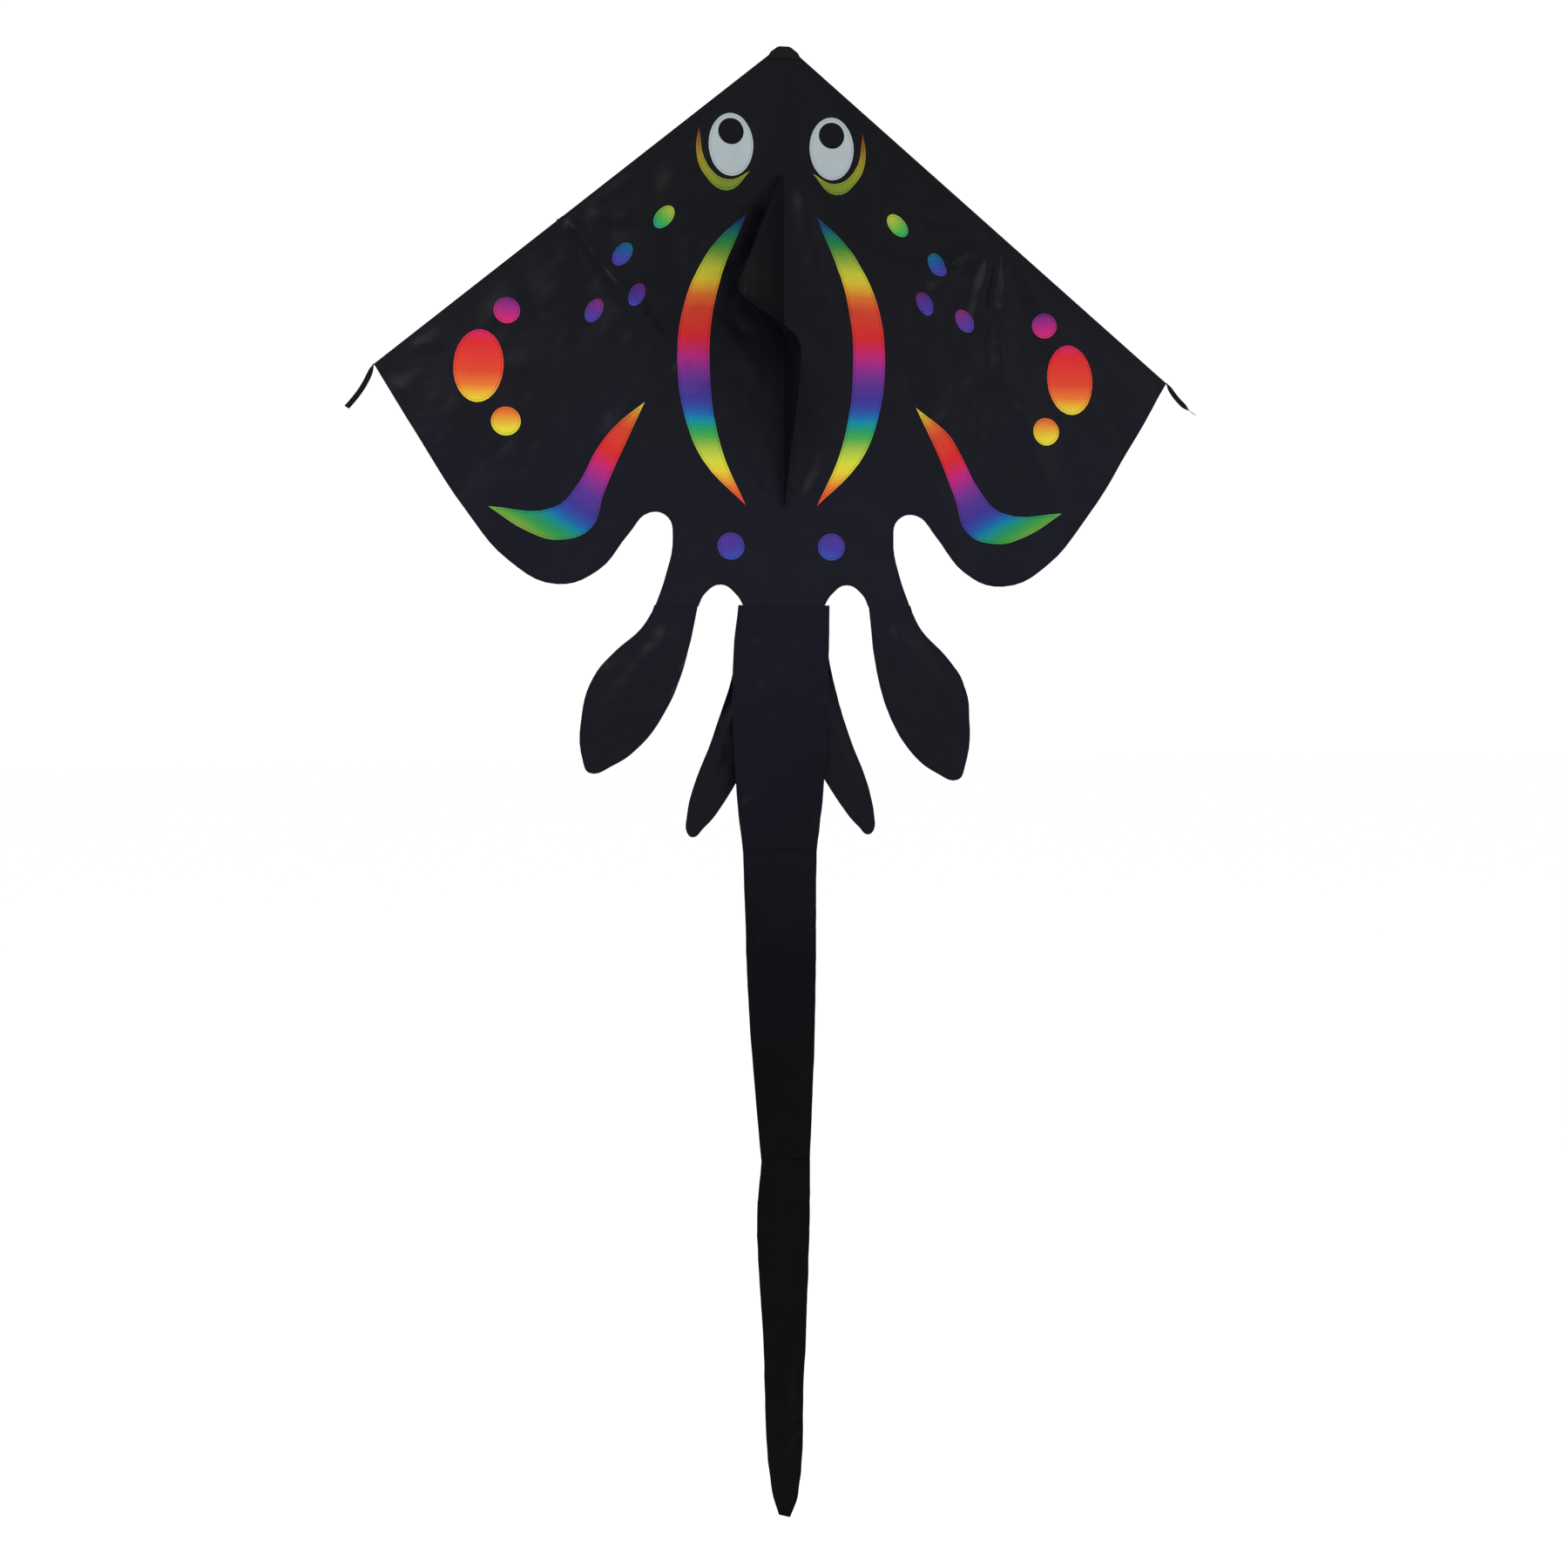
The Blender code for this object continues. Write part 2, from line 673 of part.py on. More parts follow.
def keel():
    """The keel and the eyelet that a flying line clips into at its tow corner."""

    def at(u, v):
        z = KEEL_BOTTOM + (KEEL_TOP - KEEL_BOTTOM) * u
        return keel_point(KEEL_START + (keel_depth(z) - KEEL_START) * v, z)

    obj = surface_from_grid("keel", 48, 6, at, "ripstop_black")
    centre = keel_point(EYELET_DEPTH, KEEL_TOW)
    normal = Vector((math.cos(KEEL_LEAN_UPPER), -math.sin(KEEL_LEAN_UPPER), 0))
    hole_at = Matrix.Translation(centre) @ aligned(normal)
    hole = helper(cylinder_mesh("eyelet_hole", EYELET_BARREL + FIT_GAP, 20 * MM, hole_at, CUTTERS, 24))
    boolean(obj, hole, "DIFFERENCE")
    inner = CLOTH / 2 + FIT_GAP
    outer = inner + EYELET_FLANGE_THICKNESS
    rounding = 0.4 * MM
    profile = [
        (EYELET_HOLE, -outer + rounding),
        (EYELET_HOLE, outer - rounding),
        (EYELET_HOLE + rounding, outer),
        (EYELET_FLANGE - rounding, outer),
        (EYELET_FLANGE, inner + rounding),
        (EYELET_FLANGE, inner),
        (EYELET_BARREL, inner),
        (EYELET_BARREL, -inner),
        (EYELET_FLANGE, -inner),
        (EYELET_FLANGE, -inner - rounding),
        (EYELET_FLANGE - rounding, -outer),
        (EYELET_HOLE + rounding, -outer),
    ]
    turned("tow_eyelet", profile, centre, normal, "eyelet_metal")


for leftover in list(bpy.data.objects):
    bpy.data.objects.remove(leftover)
PARTS = collection_named(COLLECTION)
CUTTERS = collection_named("cutters")

nose_cap()
spine()
spine_end_pocket()
keel()
spreader()
tail()
for side_name, side_sign in SIDES.items():
    sail(f"sail_{side_name}", side_sign)
    wing_frame(side_name, side_sign)
    face_patches(side_name, side_sign)
    outer_lobe(f"outer_lobe_{side_name}", side_sign)
    inner_lobe(f"inner_lobe_{side_name}", side_sign)
    wing_ribbon(f"wing_ribbon_{side_name}", side_name)
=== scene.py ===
"""The looks of the manta-ray delta kite: its cloth, stitching, materials, studio and camera.

Every cloth piece starts from the outline of its CAD node, is cut into a fine grid, and is
moved along Y by the soft folds and creases that the cloth hangs in. Lengths are in metres,
in the shared frame: +X right as seen from the face, +Y to the back, +Z up, origin at the nose.
"""

import json
import math

import bmesh
import bpy
import numpy as np
from mathutils import Matrix, Vector, noise


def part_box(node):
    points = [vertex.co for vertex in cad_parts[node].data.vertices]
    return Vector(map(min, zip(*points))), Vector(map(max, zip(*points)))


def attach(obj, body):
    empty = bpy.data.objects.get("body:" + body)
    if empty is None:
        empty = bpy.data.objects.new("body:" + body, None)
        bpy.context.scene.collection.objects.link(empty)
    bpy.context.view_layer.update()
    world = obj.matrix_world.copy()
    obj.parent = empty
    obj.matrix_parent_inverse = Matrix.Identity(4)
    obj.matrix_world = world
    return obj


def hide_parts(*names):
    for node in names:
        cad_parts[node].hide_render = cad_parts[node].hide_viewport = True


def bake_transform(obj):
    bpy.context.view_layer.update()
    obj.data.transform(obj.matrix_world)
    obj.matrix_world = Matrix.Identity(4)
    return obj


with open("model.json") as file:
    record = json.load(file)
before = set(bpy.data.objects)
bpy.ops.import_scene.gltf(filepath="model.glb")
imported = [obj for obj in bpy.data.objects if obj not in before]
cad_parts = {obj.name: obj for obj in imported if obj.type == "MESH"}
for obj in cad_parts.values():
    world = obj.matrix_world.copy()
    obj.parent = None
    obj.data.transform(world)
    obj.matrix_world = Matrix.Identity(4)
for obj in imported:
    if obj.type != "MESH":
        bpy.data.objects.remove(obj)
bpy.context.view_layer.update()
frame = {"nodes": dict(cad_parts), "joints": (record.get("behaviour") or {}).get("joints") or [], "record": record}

MM = 0.001
SIDES = {"left": -1, "right": 1}

# Cloth: its thickness, that of the patches, which the sail's creases must not cut through, and
# that of the pupils, which lie on the eyes; and the grid that it is all cut into
CLOTH = 0.3 * MM
PATCH = 1.4 * MM
PUPIL = 2.0 * MM
CELL = 6 * MM
CREASE_DEPTH = 1.8
SHARP_EDGE = math.radians(50)
RIPSTOP_GRID, RIPSTOP_THREAD = 5 * MM, 0.7 * MM

# The sail: the line of its seam with the tail, where its leading edges run, and how far its
# cloth may stand forwards, and backwards to where it meets the rods
SEAM_Z = -1.058
WING_TIP = Vector((0.763, 0, -0.618))
LEADING_EDGE_START = Vector((0.020, 0, -0.010))
MOST_FORWARD, MOST_BACKWARD = -22 * MM, 4.5 * MM
BILLOW = 8.5 * MM
FLUTTER = 3.5 * MM

# Crumple of the sail, and of what hangs, as (height, size)
SAIL_SOFT, SAIL_SHARP, SAIL_FINE = (1.3 * MM, 0.055), (1.6 * MM, 0.11), (0.7 * MM, 0.045)
HUNG_SOFT, HUNG_SHARP, HUNG_FINE = (1.2 * MM, 0.05), (2.2 * MM, 0.09), (1.0 * MM, 0.04)

# What hangs: how far it reaches over the piece above, its hinges, how far below one its top
# edge is moved up, and where each piece lies from front to back
SEAM_OVERLAP = 5 * MM
SEAM_ALLOWANCE = 2.5 * MM
TAIL_JOINTS = (-1.058, -1.520, -2.105)
TAIL_LEVELS = (-0.6 * MM, -1.2 * MM, -1.8 * MM)
OUTER_LOBE_LEVEL, INNER_LOBE_LEVEL = 0.5 * MM, 1.8 * MM
OUTER_LOBE_SWAY, INNER_LOBE_SWAY = 4 * MM, 22 * MM

# Stitches
STITCH_LENGTH = 2.3 * MM
STITCH_PITCH = 3.5 * MM
STITCH_WIDTH = 0.55 * MM
STITCH_PROUD = 0.22 * MM
PATCH_INSET = 3.6 * MM
HEM_INSET = 5.0 * MM
KEEL_INSETS = (3 * MM, 8 * MM)
SLEEVE_INSET = 13.5 * MM
BOX_FACES = ((0, 1, 2, 3), (7, 6, 5, 4), (0, 4, 5, 1), (1, 5, 6, 2), (2, 6, 7, 3), (3, 7, 4, 0))

# Keel
KEEL_TOP, KEEL_TOW, KEEL_BOTTOM = -0.243, -0.481, -0.866
KEEL_DEPTH, KEEL_END_DEPTH, KEEL_CORNER = 0.205, 0.014, 0.014
KEEL_ROOT = 1.2 * MM
KEEL_CURL, KEEL_CURL_LENGTH = 0.10, 0.41
KEEL_CRUMPLE = 1.5 * MM
KEEL_COLUMNS, KEEL_ROWS = 90, 24
EYELET_HOLE = 6.2 * MM
KEEL_LEAN_UPPER, KEEL_LEAN_LOWER = math.radians(36), math.radians(4)
KEEL_LEAN_FROM, KEEL_LEAN_TO = -0.484, -0.590

# Ribbons at the wing tips. The twists are in degrees: where it is sewn on, and further along.
RIBBON_LENGTH = {"left": 0.094, "right": 0.084}
RIBBON_TWIST = {"left": (55, 8), "right": (30, 78)}
RIBBON_WIDTH = 10 * MM
RIBBON_THICKNESS = 0.5 * MM
RIBBON_STEPS = 26

# Webbing over the nose, in millimetres: its profile as (y, z) from the front edge over the top
# to the back edge, and how far out it reaches at each distance below the nose
NOSE_PROFILE = (
    (-1.6, -24),
    (-1.7, -12),
    (-1.6, -3),
    (-0.6, -0.8),
    (4, -0.3),
    (8.4, -0.8),
    (9.5, -3),
    (9.6, -20),
)
NOSE_BELOW = (0.3, 2, 5, 14, 24)
NOSE_REACH = (8, 13, 17, 29, 33)
NOSE_COLUMNS = 9
NOSE_THICKNESS = 0.8 * MM

# Studio
FLOOR_Z, FLOOR_REACH = -3.2, 40.0
PAPER = (0.97, 0.97, 0.97, 1)
SURROUND_STRENGTH = 1.03
CAMERA_LENS, SENSOR_WIDTH = 54.92, 36
CAMERA_SHIFT = -1 / 12
CAMERA_AZIMUTH, CAMERA_DISTANCE, CAMERA_HEIGHT = math.radians(-12), 4.51, -1.1447

# One repeat of the rainbow dye, downwards: how far along it each colour is, from 0 to 1, as
# sRGB bytes
RAINBOW_REPEAT = 0.36
RAINBOW = (
    (0.0, (12, 133, 128)),
    (0.035, (35, 140, 85)),
    (0.07, (62, 150, 62)),
    (0.11, (120, 160, 60)),
    (0.15, (156, 176, 55)),
    (0.20, (186, 190, 50)),
    (0.25, (200, 180, 46)),
    (0.29, (200, 148, 42)),
    (0.33, (200, 102, 38)),
    (0.40, (194, 60, 36)),
    (0.55, (197, 33, 38)),
    (0.60, (190, 31, 80)),
    (0.66, (166, 32, 120)),
    (0.72, (124, 40, 130)),
    (0.79, (80, 45, 135)),
    (0.87, (58, 47, 136)),
    (0.915, (44, 66, 150)),
    (0.95, (20, 92, 157)),
    (0.985, (5, 125, 150)),
)
# How each patch was cut from that cloth: the way that the repeat runs up it (outwards, up),
# which is longer where the colours are closer together; where in the repeat the nose would be;
# and the painted shade over it, darker mostly towards its top, as (share of the way down the
# patch, brightness that is left)
PATCH_DYE_AND_SHADE = {
    "eye_crescent": ((0.0, -0.70), 0.66, ((0.0, 0.22), (0.4, 0.35), (1.0, 0.38))),
    "spot_green": ((0.64, -0.77), 0.20, ((0.0, 0.68), (1.0, 1.0))),
    "spot_blue": ((0.34, -0.94), 0.26, ((0.0, 0.38), (1.0, 1.0))),
    "spot_violet_inner": ((-0.23, 1.28), 0.94, ((0.0, 0.36), (1.0, 1.0))),
    "spot_violet_outer": ((-0.44, 1.22), 0.62, ((0.0, 0.52), (1.0, 1.0))),
    "spot_magenta": ((0.15, -0.84), 0.08, ((0.0, 0.50), (1.0, 1.0))),
    "spot_red": ((0.0, -1.0), 0.14, ((0.0, 0.84), (1.0, 1.0))),
    "spot_orange": ((0.0, -1.0), 0.28, ((0.0, 0.90), (1.0, 1.0))),
    "spot_indigo": ((0.24, 0.66), 0.20, ((0.0, 0.76), (1.0, 1.0))),
    "long_crescent": (
        (0.0, 1.0),
        0.02,
        ((0.0, 0.25), (0.18, 0.68), (0.27, 0.78), (0.6, 0.78), (0.8, 0.97)),
    ),
    "wing_chevron": ((-0.50, 0.87), 0.22, ((0.0, 0.74), (0.3, 0.86), (1.0, 0.72))),
}

# Creases: (start, end, width there, width at the end, height), all in millimetres, as seen on
# each wing with x outwards. A positive height stands towards the face.
CREASES = {
    "left": (
        ((418, -330), (290, -497), 8, 17, 5.5),
        ((345, -425), (190, -632), 11, 24, 6.0),
        ((215, -600), (130, -692), 22, 34, 3.0),
        ((400, -350), (330, -540), 14, 50, -3.5),
        ((396, -318), (262, -232), 12, 20, 3.0),
        ((380, -330), (200, -330), 12, 26, 2.2),
        ((700, -585), (610, -560), 10, 26, 2.0),
        ((745, -640), (560, -760), 14, 60, 2.5),
        ((30, -868), (90, -770), 8, 24, 2.2),
        ((26, -850), (110, -690), 10, 34, -2.4),
        ((340, -690), (220, -880), 24, 50, 3.0),
        ((30, -300), (75, -470), 16, 34, -3.0),
    ),
    "right": (
        ((414, -356), (345, -620), 9, 28, 5.5),
        ((420, -356), (392, -640), 10, 28, -4.5),
        ((345, -600), (285, -840), 20, 34, 5.5),
        ((392, -600), (330, -900), 20, 34, -4.0),
        ((426, -356), (440, -560), 8, 30, 3.6),
        ((432, -366), (530, -520), 8, 24, 3.0),
        ((402, -345), (205, -395), 8, 20, 4.0),
        ((400, -350), (215, -470), 9, 16, -3.4),
        ((396, -352), (230, -520), 8, 20, 3.4),
        ((398, -338), (230, -300), 8, 18, 3.0),
        ((405, -470), (440, -680), 18, 22, 4.6),
        ((455, -640), (530, -870), 14, 24, 4.0),
        ((745, -640), (580, -740), 14, 50, 2.5),
        ((30, -868), (110, -760), 8, 24, 2.4),
        ((26, -840), (80, -700), 10, 30, -2.8),
        ((30, -250), (85, -520), 14, 34, 3.4),
    ),
    "tail_upper": (
        ((-84, -1085), (10, -1072), 9, 14, 4.0),
        ((10, -1076), (84, -1092), 10, 12, -3.0),
        ((-92, -1120), (-20, -1098), 12, 18, -3.0),
        ((20, -1100), (-40, -1420), 26, 40, 5.0),
        ((70, -1120), (30, -1480), 22, 34, -4.0),
        ((-88, -1440), (-20, -1400), 9, 16, 3.5),
        ((66, -1500), (20, -1380), 9, 20, 4.0),
    ),
    "tail_middle": (
        ((-60, -1560), (-30, -1900), 26, 30, 4.5),
        ((50, -1540), (20, -1760), 16, 26, -4.0),
        ((-64, -1700), (0, -1660), 9, 16, 2.5),
        ((40, -1780), (10, -2070), 18, 20, 4.0),
        ((-44, -2080), (10, -2040), 8, 14, -2.5),
    ),
    "tail_lower": (
        ((-30, -2120), (-14, -2400), 16, 18, 4.0),
        ((34, -2150), (18, -2460), 14, 16, -3.5),
        ((6, -2450), (4, -2700), 14, 10, 3.5),
        ((30, -2600), (-14, -2660), 6, 8, 2.0),
    ),
    "outer_lobe": (
        ((210, -1070), (290, -1290), 14, 40, 4.5),
        ((180, -1110), (250, -1300), 10, 20, -3.0),
        ((246, -1120), (350, -1280), 10, 24, 3.0),
        ((225, -1250), (300, -1230), 6, 14, 2.0),
    ),
    "inner_lobe": (
        ((60, -1090), (150, -1440), 12, 22, -5.0),
        ((90, -1240), (165, -1470), 9, 14, 3.0),
    ),
}


def ease(value):
    """Smooth step from 0 to 1, for a number or an array."""
    value = np.clip(value, 0.0, 1.0)
    return value * value * (3 - 2 * value)


def wrinkle(x, z, size, seed):
    """Fine crumple of the cloth, from -1 to 1."""
    return np.array([noise.noise(Vector((a / size, b / size, seed))) for a, b in zip(x, z)])


def crinkle(x, z, size, seed):
    """Sharp little ridges between flat facets, as in crumpled thin cloth, from about -1 to 1."""
    return 1 - 4 * np.abs(wrinkle(x, z, size, seed))


def ridges(x, z, creases):
    """Height of all those creases at each point, towards the face, in metres."""
    total = np.zeros(len(x))
    for start, end, first_width, last_width, height in creases:
        start, end = np.array(start) * MM, np.array(end) * MM
        run = end - start
        length = float(np.hypot(*run))
        unit = run / length
        dx, dz = x - start[0], z - start[1]
        along = (dx * unit[0] + dz * unit[1]) / length
        across = dx * unit[1] - dz * unit[0]
        width = (first_width + (last_width - first_width) * np.clip(along, 0, 1)) * MM
        taper = ease(along / 0.18) * ease((1 - along) / 0.55)
        total += CREASE_DEPTH * height * MM * np.exp(-((across / width) ** 2)) * taper
    return total


def sail_surface(side_name):
    """The sail's shape on one side, as a function that gives y at (x, z)."""
    side = SIDES[side_name]
    edge = WING_TIP - LEADING_EDGE_START
    edge_length = edge.length

    def surface(x, z):
        out = np.abs(x)
        below_edge = (out - LEADING_EDGE_START.x) * edge.z - (z - LEADING_EDGE_START.z) * edge.x
        below_edge = below_edge / edge_length
        # Held at the spine, along the leading edge and at the tail's seam
        free = ease(out / 0.07) * ease((below_edge - 0.010) / 0.06) * ease((z - SEAM_Z) / 0.07)
        billow = -BILLOW * np.sin(np.pi * np.clip(below_edge / 0.62, 0, 1)) * ease(out / 0.3)
        low = ease((-z - 0.78) / 0.2) * ease((out - 0.26) / 0.1)
        flutter = FLUTTER * low * np.sin(out * 34 + side)
        crumple = SAIL_SOFT[0] * wrinkle(x, z * 0.7, SAIL_SOFT[1], 3.0 * side)
        crumple += SAIL_SHARP[0] * crinkle(x + 0.3 * z, z * 0.8, SAIL_SHARP[1], 5.0 * side)
        crumple += SAIL_FINE[0] * crinkle(x - 0.4 * z, z, SAIL_FINE[1], 7.0 * side)
        folds = -ridges(out, z, CREASES[side_name])
        near_edge = ease((below_edge - 0.007) / 0.02) * ease(out / 0.02)
        y = free * (billow + flutter + crumple) + near_edge * ease((z - SEAM_Z) / 0.03) * folds
        return np.clip(y, MOST_FORWARD, MOST_BACKWARD)

    return surface


def hanging_surface(creases, top, level, seed, sway):
    """A hanging piece's shape: flat along its top seam, and loose below it."""

    def surface(x, z):
        loose = ease((top - z) / 0.07)
        crumple = HUNG_SOFT[0] * wrinkle(x, z * 0.6, HUNG_SOFT[1], seed)
        crumple += HUNG_SHARP[0] * crinkle(x + 0.4 * z, z * 0.7, HUNG_SHARP[1], seed)
        crumple += HUNG_FINE[0] * crinkle(x - 0.5 * z, z, HUNG_FINE[1], seed + 0.5)
        bow = sway * ease((top - z) / 0.3)
        folds = -ridges(np.abs(x) if "lobe" in creases else x, z, CREASES[creases])
        return level + loose * (crumple + folds) + bow

    return surface


def face_outline(node):
    """The edge of a flat CAD node's face as an anticlockwise array of (x, z) points."""
    shape = bmesh.new()
    shape.from_mesh(frame["nodes"][node].data)
    bmesh.ops.remove_doubles(shape, verts=shape.verts, dist=0.00001)
    front = min(v.co.y for v in shape.verts) + 0.0001
    back = [f for f in shape.faces if max(v.co.y for v in f.verts) > front]
    bmesh.ops.delete(shape, geom=back, context="FACES")
    rim = {}
    for edge in shape.edges:
        if edge.is_boundary:
            first, second = edge.verts
            rim.setdefault(first, []).append(second)
            rim.setdefault(second, []).append(first)
    start = here = next(iter(rim))
    before = None
    points = []
    while before is None or here is not start:
        points.append((here.co.x, here.co.z))
        onward = rim[here][0] if rim[here][0] is not before else rim[here][1]
        before, here = here, onward
    shape.free()
    outline = np.array(points)
    return outline if signed_area(outline) > 0 else outline[::-1]


def signed_area(outline):
    x, z = outline[:, 0], outline[:, 1]
    return float(np.dot(x, np.roll(z, -1)) - np.dot(z, np.roll(x, -1))) / 2


def new_object(name, mesh):
    obj = bpy.data.objects.new(name, mesh)
    bpy.context.scene.collection.objects.link(obj)
    return obj


def object_from(shape, name):
    """A new object with that shape, which is freed."""
    mesh = bpy.data.meshes.new(name)
    shape.to_mesh(mesh)
    shape.free()
    return new_object(name, mesh)


def join_rows(shape, rows):
    """Faces between each row of vertices and the next."""
    for first, second in zip(rows, rows[1:]):
        for j in range(len(first) - 1):
            shape.faces.new((first[j], first[j + 1], second[j + 1], second[j]))


def thicken(obj, thickness):
    """A wall of that thickness, half of it on each side."""
    wall = obj.modifiers.new("wall", "SOLIDIFY")
    wall.thickness = thickness
    wall.offset = 0.0


def settle(obj, angle=SHARP_EDGE):
    """Applies obj's modifiers and shades it smooth, but for edges sharper than that angle."""
    obj.data = bpy.data.meshes.new_from_object(
        obj.evaluated_get(bpy.context.evaluated_depsgraph_get())
    )
    obj.modifiers.clear()
    obj.data.shade_smooth()
    obj.data.set_sharp_from_angle(angle=angle)


def cloth_piece(name, outline, surface, thickness=CLOTH, cuts=()):
    """A closed sheet with that outline, cut into a grid, on the given surface.

    cuts are more x positions where the grid is divided.
    """
    shape = bmesh.new()
    shape.faces.new([shape.verts.new((x, 0, z)) for x, z in outline])
    low, high = outline.min(0), outline.max(0)
    for axis, normal in ((0, (1, 0, 0)), (1, (0, 0, 1))):
        lines = list(np.arange(math.ceil(low[axis] / CELL) * CELL, high[axis], CELL))
        if axis == 0:
            lines = [x for x in lines if min([abs(x - c) for c in cuts], default=1) > CELL / 4]
            lines += [x for x in cuts if low[0] < x < high[0]]
        for line in lines:
            point = Vector(normal) * float(line)
            everything = shape.verts[:] + shape.edges[:] + shape.faces[:]
            bmesh.ops.bisect_plane(
                shape, geom=everything, dist=1e-6, plane_co=point, plane_no=normal
            )
    bmesh.ops.remove_doubles(shape, verts=shape.verts, dist=0.00005)
    place = np.array([(v.co.x, v.co.z) for v in shape.verts])
    for vertex, y in zip(shape.verts, surface(place[:, 0], place[:, 1])):
        vertex.co.y = y - thickness / 2
    bmesh.ops.triangulate(shape, faces=[f for f in shape.faces if len(f.verts) > 4])
    bmesh.ops.recalc_face_normals(shape, faces=shape.faces)
    if sum(f.normal.y * f.calc_area() for f in shape.faces) > 0:
        bmesh.ops.reverse_faces(shape, faces=shape.faces)
    front = shape.faces[:]
    copied = bmesh.ops.duplicate(shape, geom=shape.verts[:] + shape.edges[:] + front)
    back = [g for g in copied["geom"] if isinstance(g, bmesh.types.BMFace)]
    for vertex in {v for f in back for v in f.verts}:
        vertex.co.y += thickness
    bmesh.ops.reverse_faces(shape, faces=back)
    rims = [e for e in shape.edges if e.is_boundary]
    bmesh.ops.bridge_loops(shape, edges=rims)
    bmesh.ops.recalc_face_normals(shape, faces=shape.faces)
    piece = object_from(shape, name)
    piece.data.shade_smooth()
    piece.data.set_sharp_from_angle(angle=SHARP_EDGE)
    return piece


def resampled(points, step, closed=True):
    """Points at even steps along a line."""
    line = np.vstack([points, points[:1]]) if closed else np.array(points, float)
    lengths = np.hypot(*np.diff(line, axis=0).T)
    reach = np.concatenate([[0], np.cumsum(lengths)])
    count = max(int(reach[-1] / step), 2)
    at = np.linspace(0, reach[-1], count + 1)
    if closed:
        at = at[:-1]
    return np.stack([np.interp(at, reach, line[:, 0]), np.interp(at, reach, line[:, 1])], 1)


def inset_rows(outline, distance):
    """The outline moved inwards, as runs of points that keep that distance from the edge."""
    points = resampled(outline, STITCH_PITCH / 2)
    run = np.roll(points, -1, 0) - np.roll(points, 1, 0)
    run /= np.maximum(np.hypot(*run.T), 1e-9)[:, None]
    moved = points + distance * np.stack([-run[:, 1], run[:, 0]], 1)
    rows, row = [], []
    for point in np.vstack([moved, moved[:1]]):
        if np.hypot(*(points - point).T).min() < distance * 0.96:
            rows.append(row)
            row = []
        else:
            row.append(point)
    rows.append(row)
    return [np.array(r) for r in rows if len(r) > 3]


def stitches(name, rows, surface, cloth):
    """One dash of thread after another along rows of (x, z) points. It shows on both sides."""
    corners, faces = [], []
    for row in rows:
        ends = resampled(row, STITCH_PITCH, closed=False)
        for here, there in zip(ends, ends[1:]):
            unit = (there - here) / max(float(np.hypot(*(there - here))), 1e-9)
            side = np.array((-unit[1], unit[0])) * STITCH_WIDTH / 2
            first, last = here, here + unit * STITCH_LENGTH
            flat = [first + side, last + side, last - side, first - side]
            start = len(corners)
            corners += [(*p, -1) for p in flat] + [(*p, 1) for p in flat]
            faces += [tuple(start + i for i in face) for face in BOX_FACES]
    corners = np.array(corners)
    reach = cloth / 2 + STITCH_PROUD
    y = surface(corners[:, 0], corners[:, 1]) + corners[:, 2] * reach
    mesh = bpy.data.meshes.new(name)
    mesh.from_pydata(np.stack([corners[:, 0], y, corners[:, 1]], 1).tolist(), [], faces)
    obj = new_object(name, mesh)
    fix_normals(obj)
    return obj


def fix_normals(obj):
    shape = bmesh.new()
    shape.from_mesh(obj.data)
    bmesh.ops.recalc_face_normals(shape, faces=shape.faces)
    shape.to_mesh(obj.data)
    shape.free()


class Tree:
    """A material's node tree, with short calls that add and link nodes."""

    def __init__(self, name):
        self.material = bpy.data.materials.new(name)
        self.material.use_nodes = True
        self.nodes = self.material.node_tree.nodes
        self.links = self.material.node_tree.links
        self.shader = self.nodes["Principled BSDF"]

    def add(self, kind, inputs=(), **settings):
        """Adds a node. An input that is a socket is linked, and any other is a value."""
        node = self.nodes.new(kind)
        for key, value in settings.items():
            setattr(node, key, value)
        for key, value in dict(inputs).items():
            self.plug(node.inputs[key], value)
        return node

    def plug(self, socket, value):
        if isinstance(value, bpy.types.NodeSocket):
            self.links.new(value, socket)
        else:
            socket.default_value = value

    def math(self, operation, first, second=0.0):
        return self.add("ShaderNodeMath", {0: first, 1: second}, operation=operation).outputs[0]

    def ramp(self, factor, stops):
        """A colour ramp through (position, linear colour) stops."""
        node = self.add("ShaderNodeValToRGB", {"Fac": factor})
        elements = node.color_ramp.elements
        while len(elements) < len(stops):
            elements.new(0.5)
        for element, (position, colour) in zip(elements, stops):
            element.position = position
            element.color = (*colour, 1.0)
        return node.outputs["Color"]


def linear(colour):
    """sRGB bytes as linear values."""
    return tuple(c / 255 / 12.92 if c <= 10 else ((c / 255 + 0.055) / 1.055) ** 2.4 for c in colour)


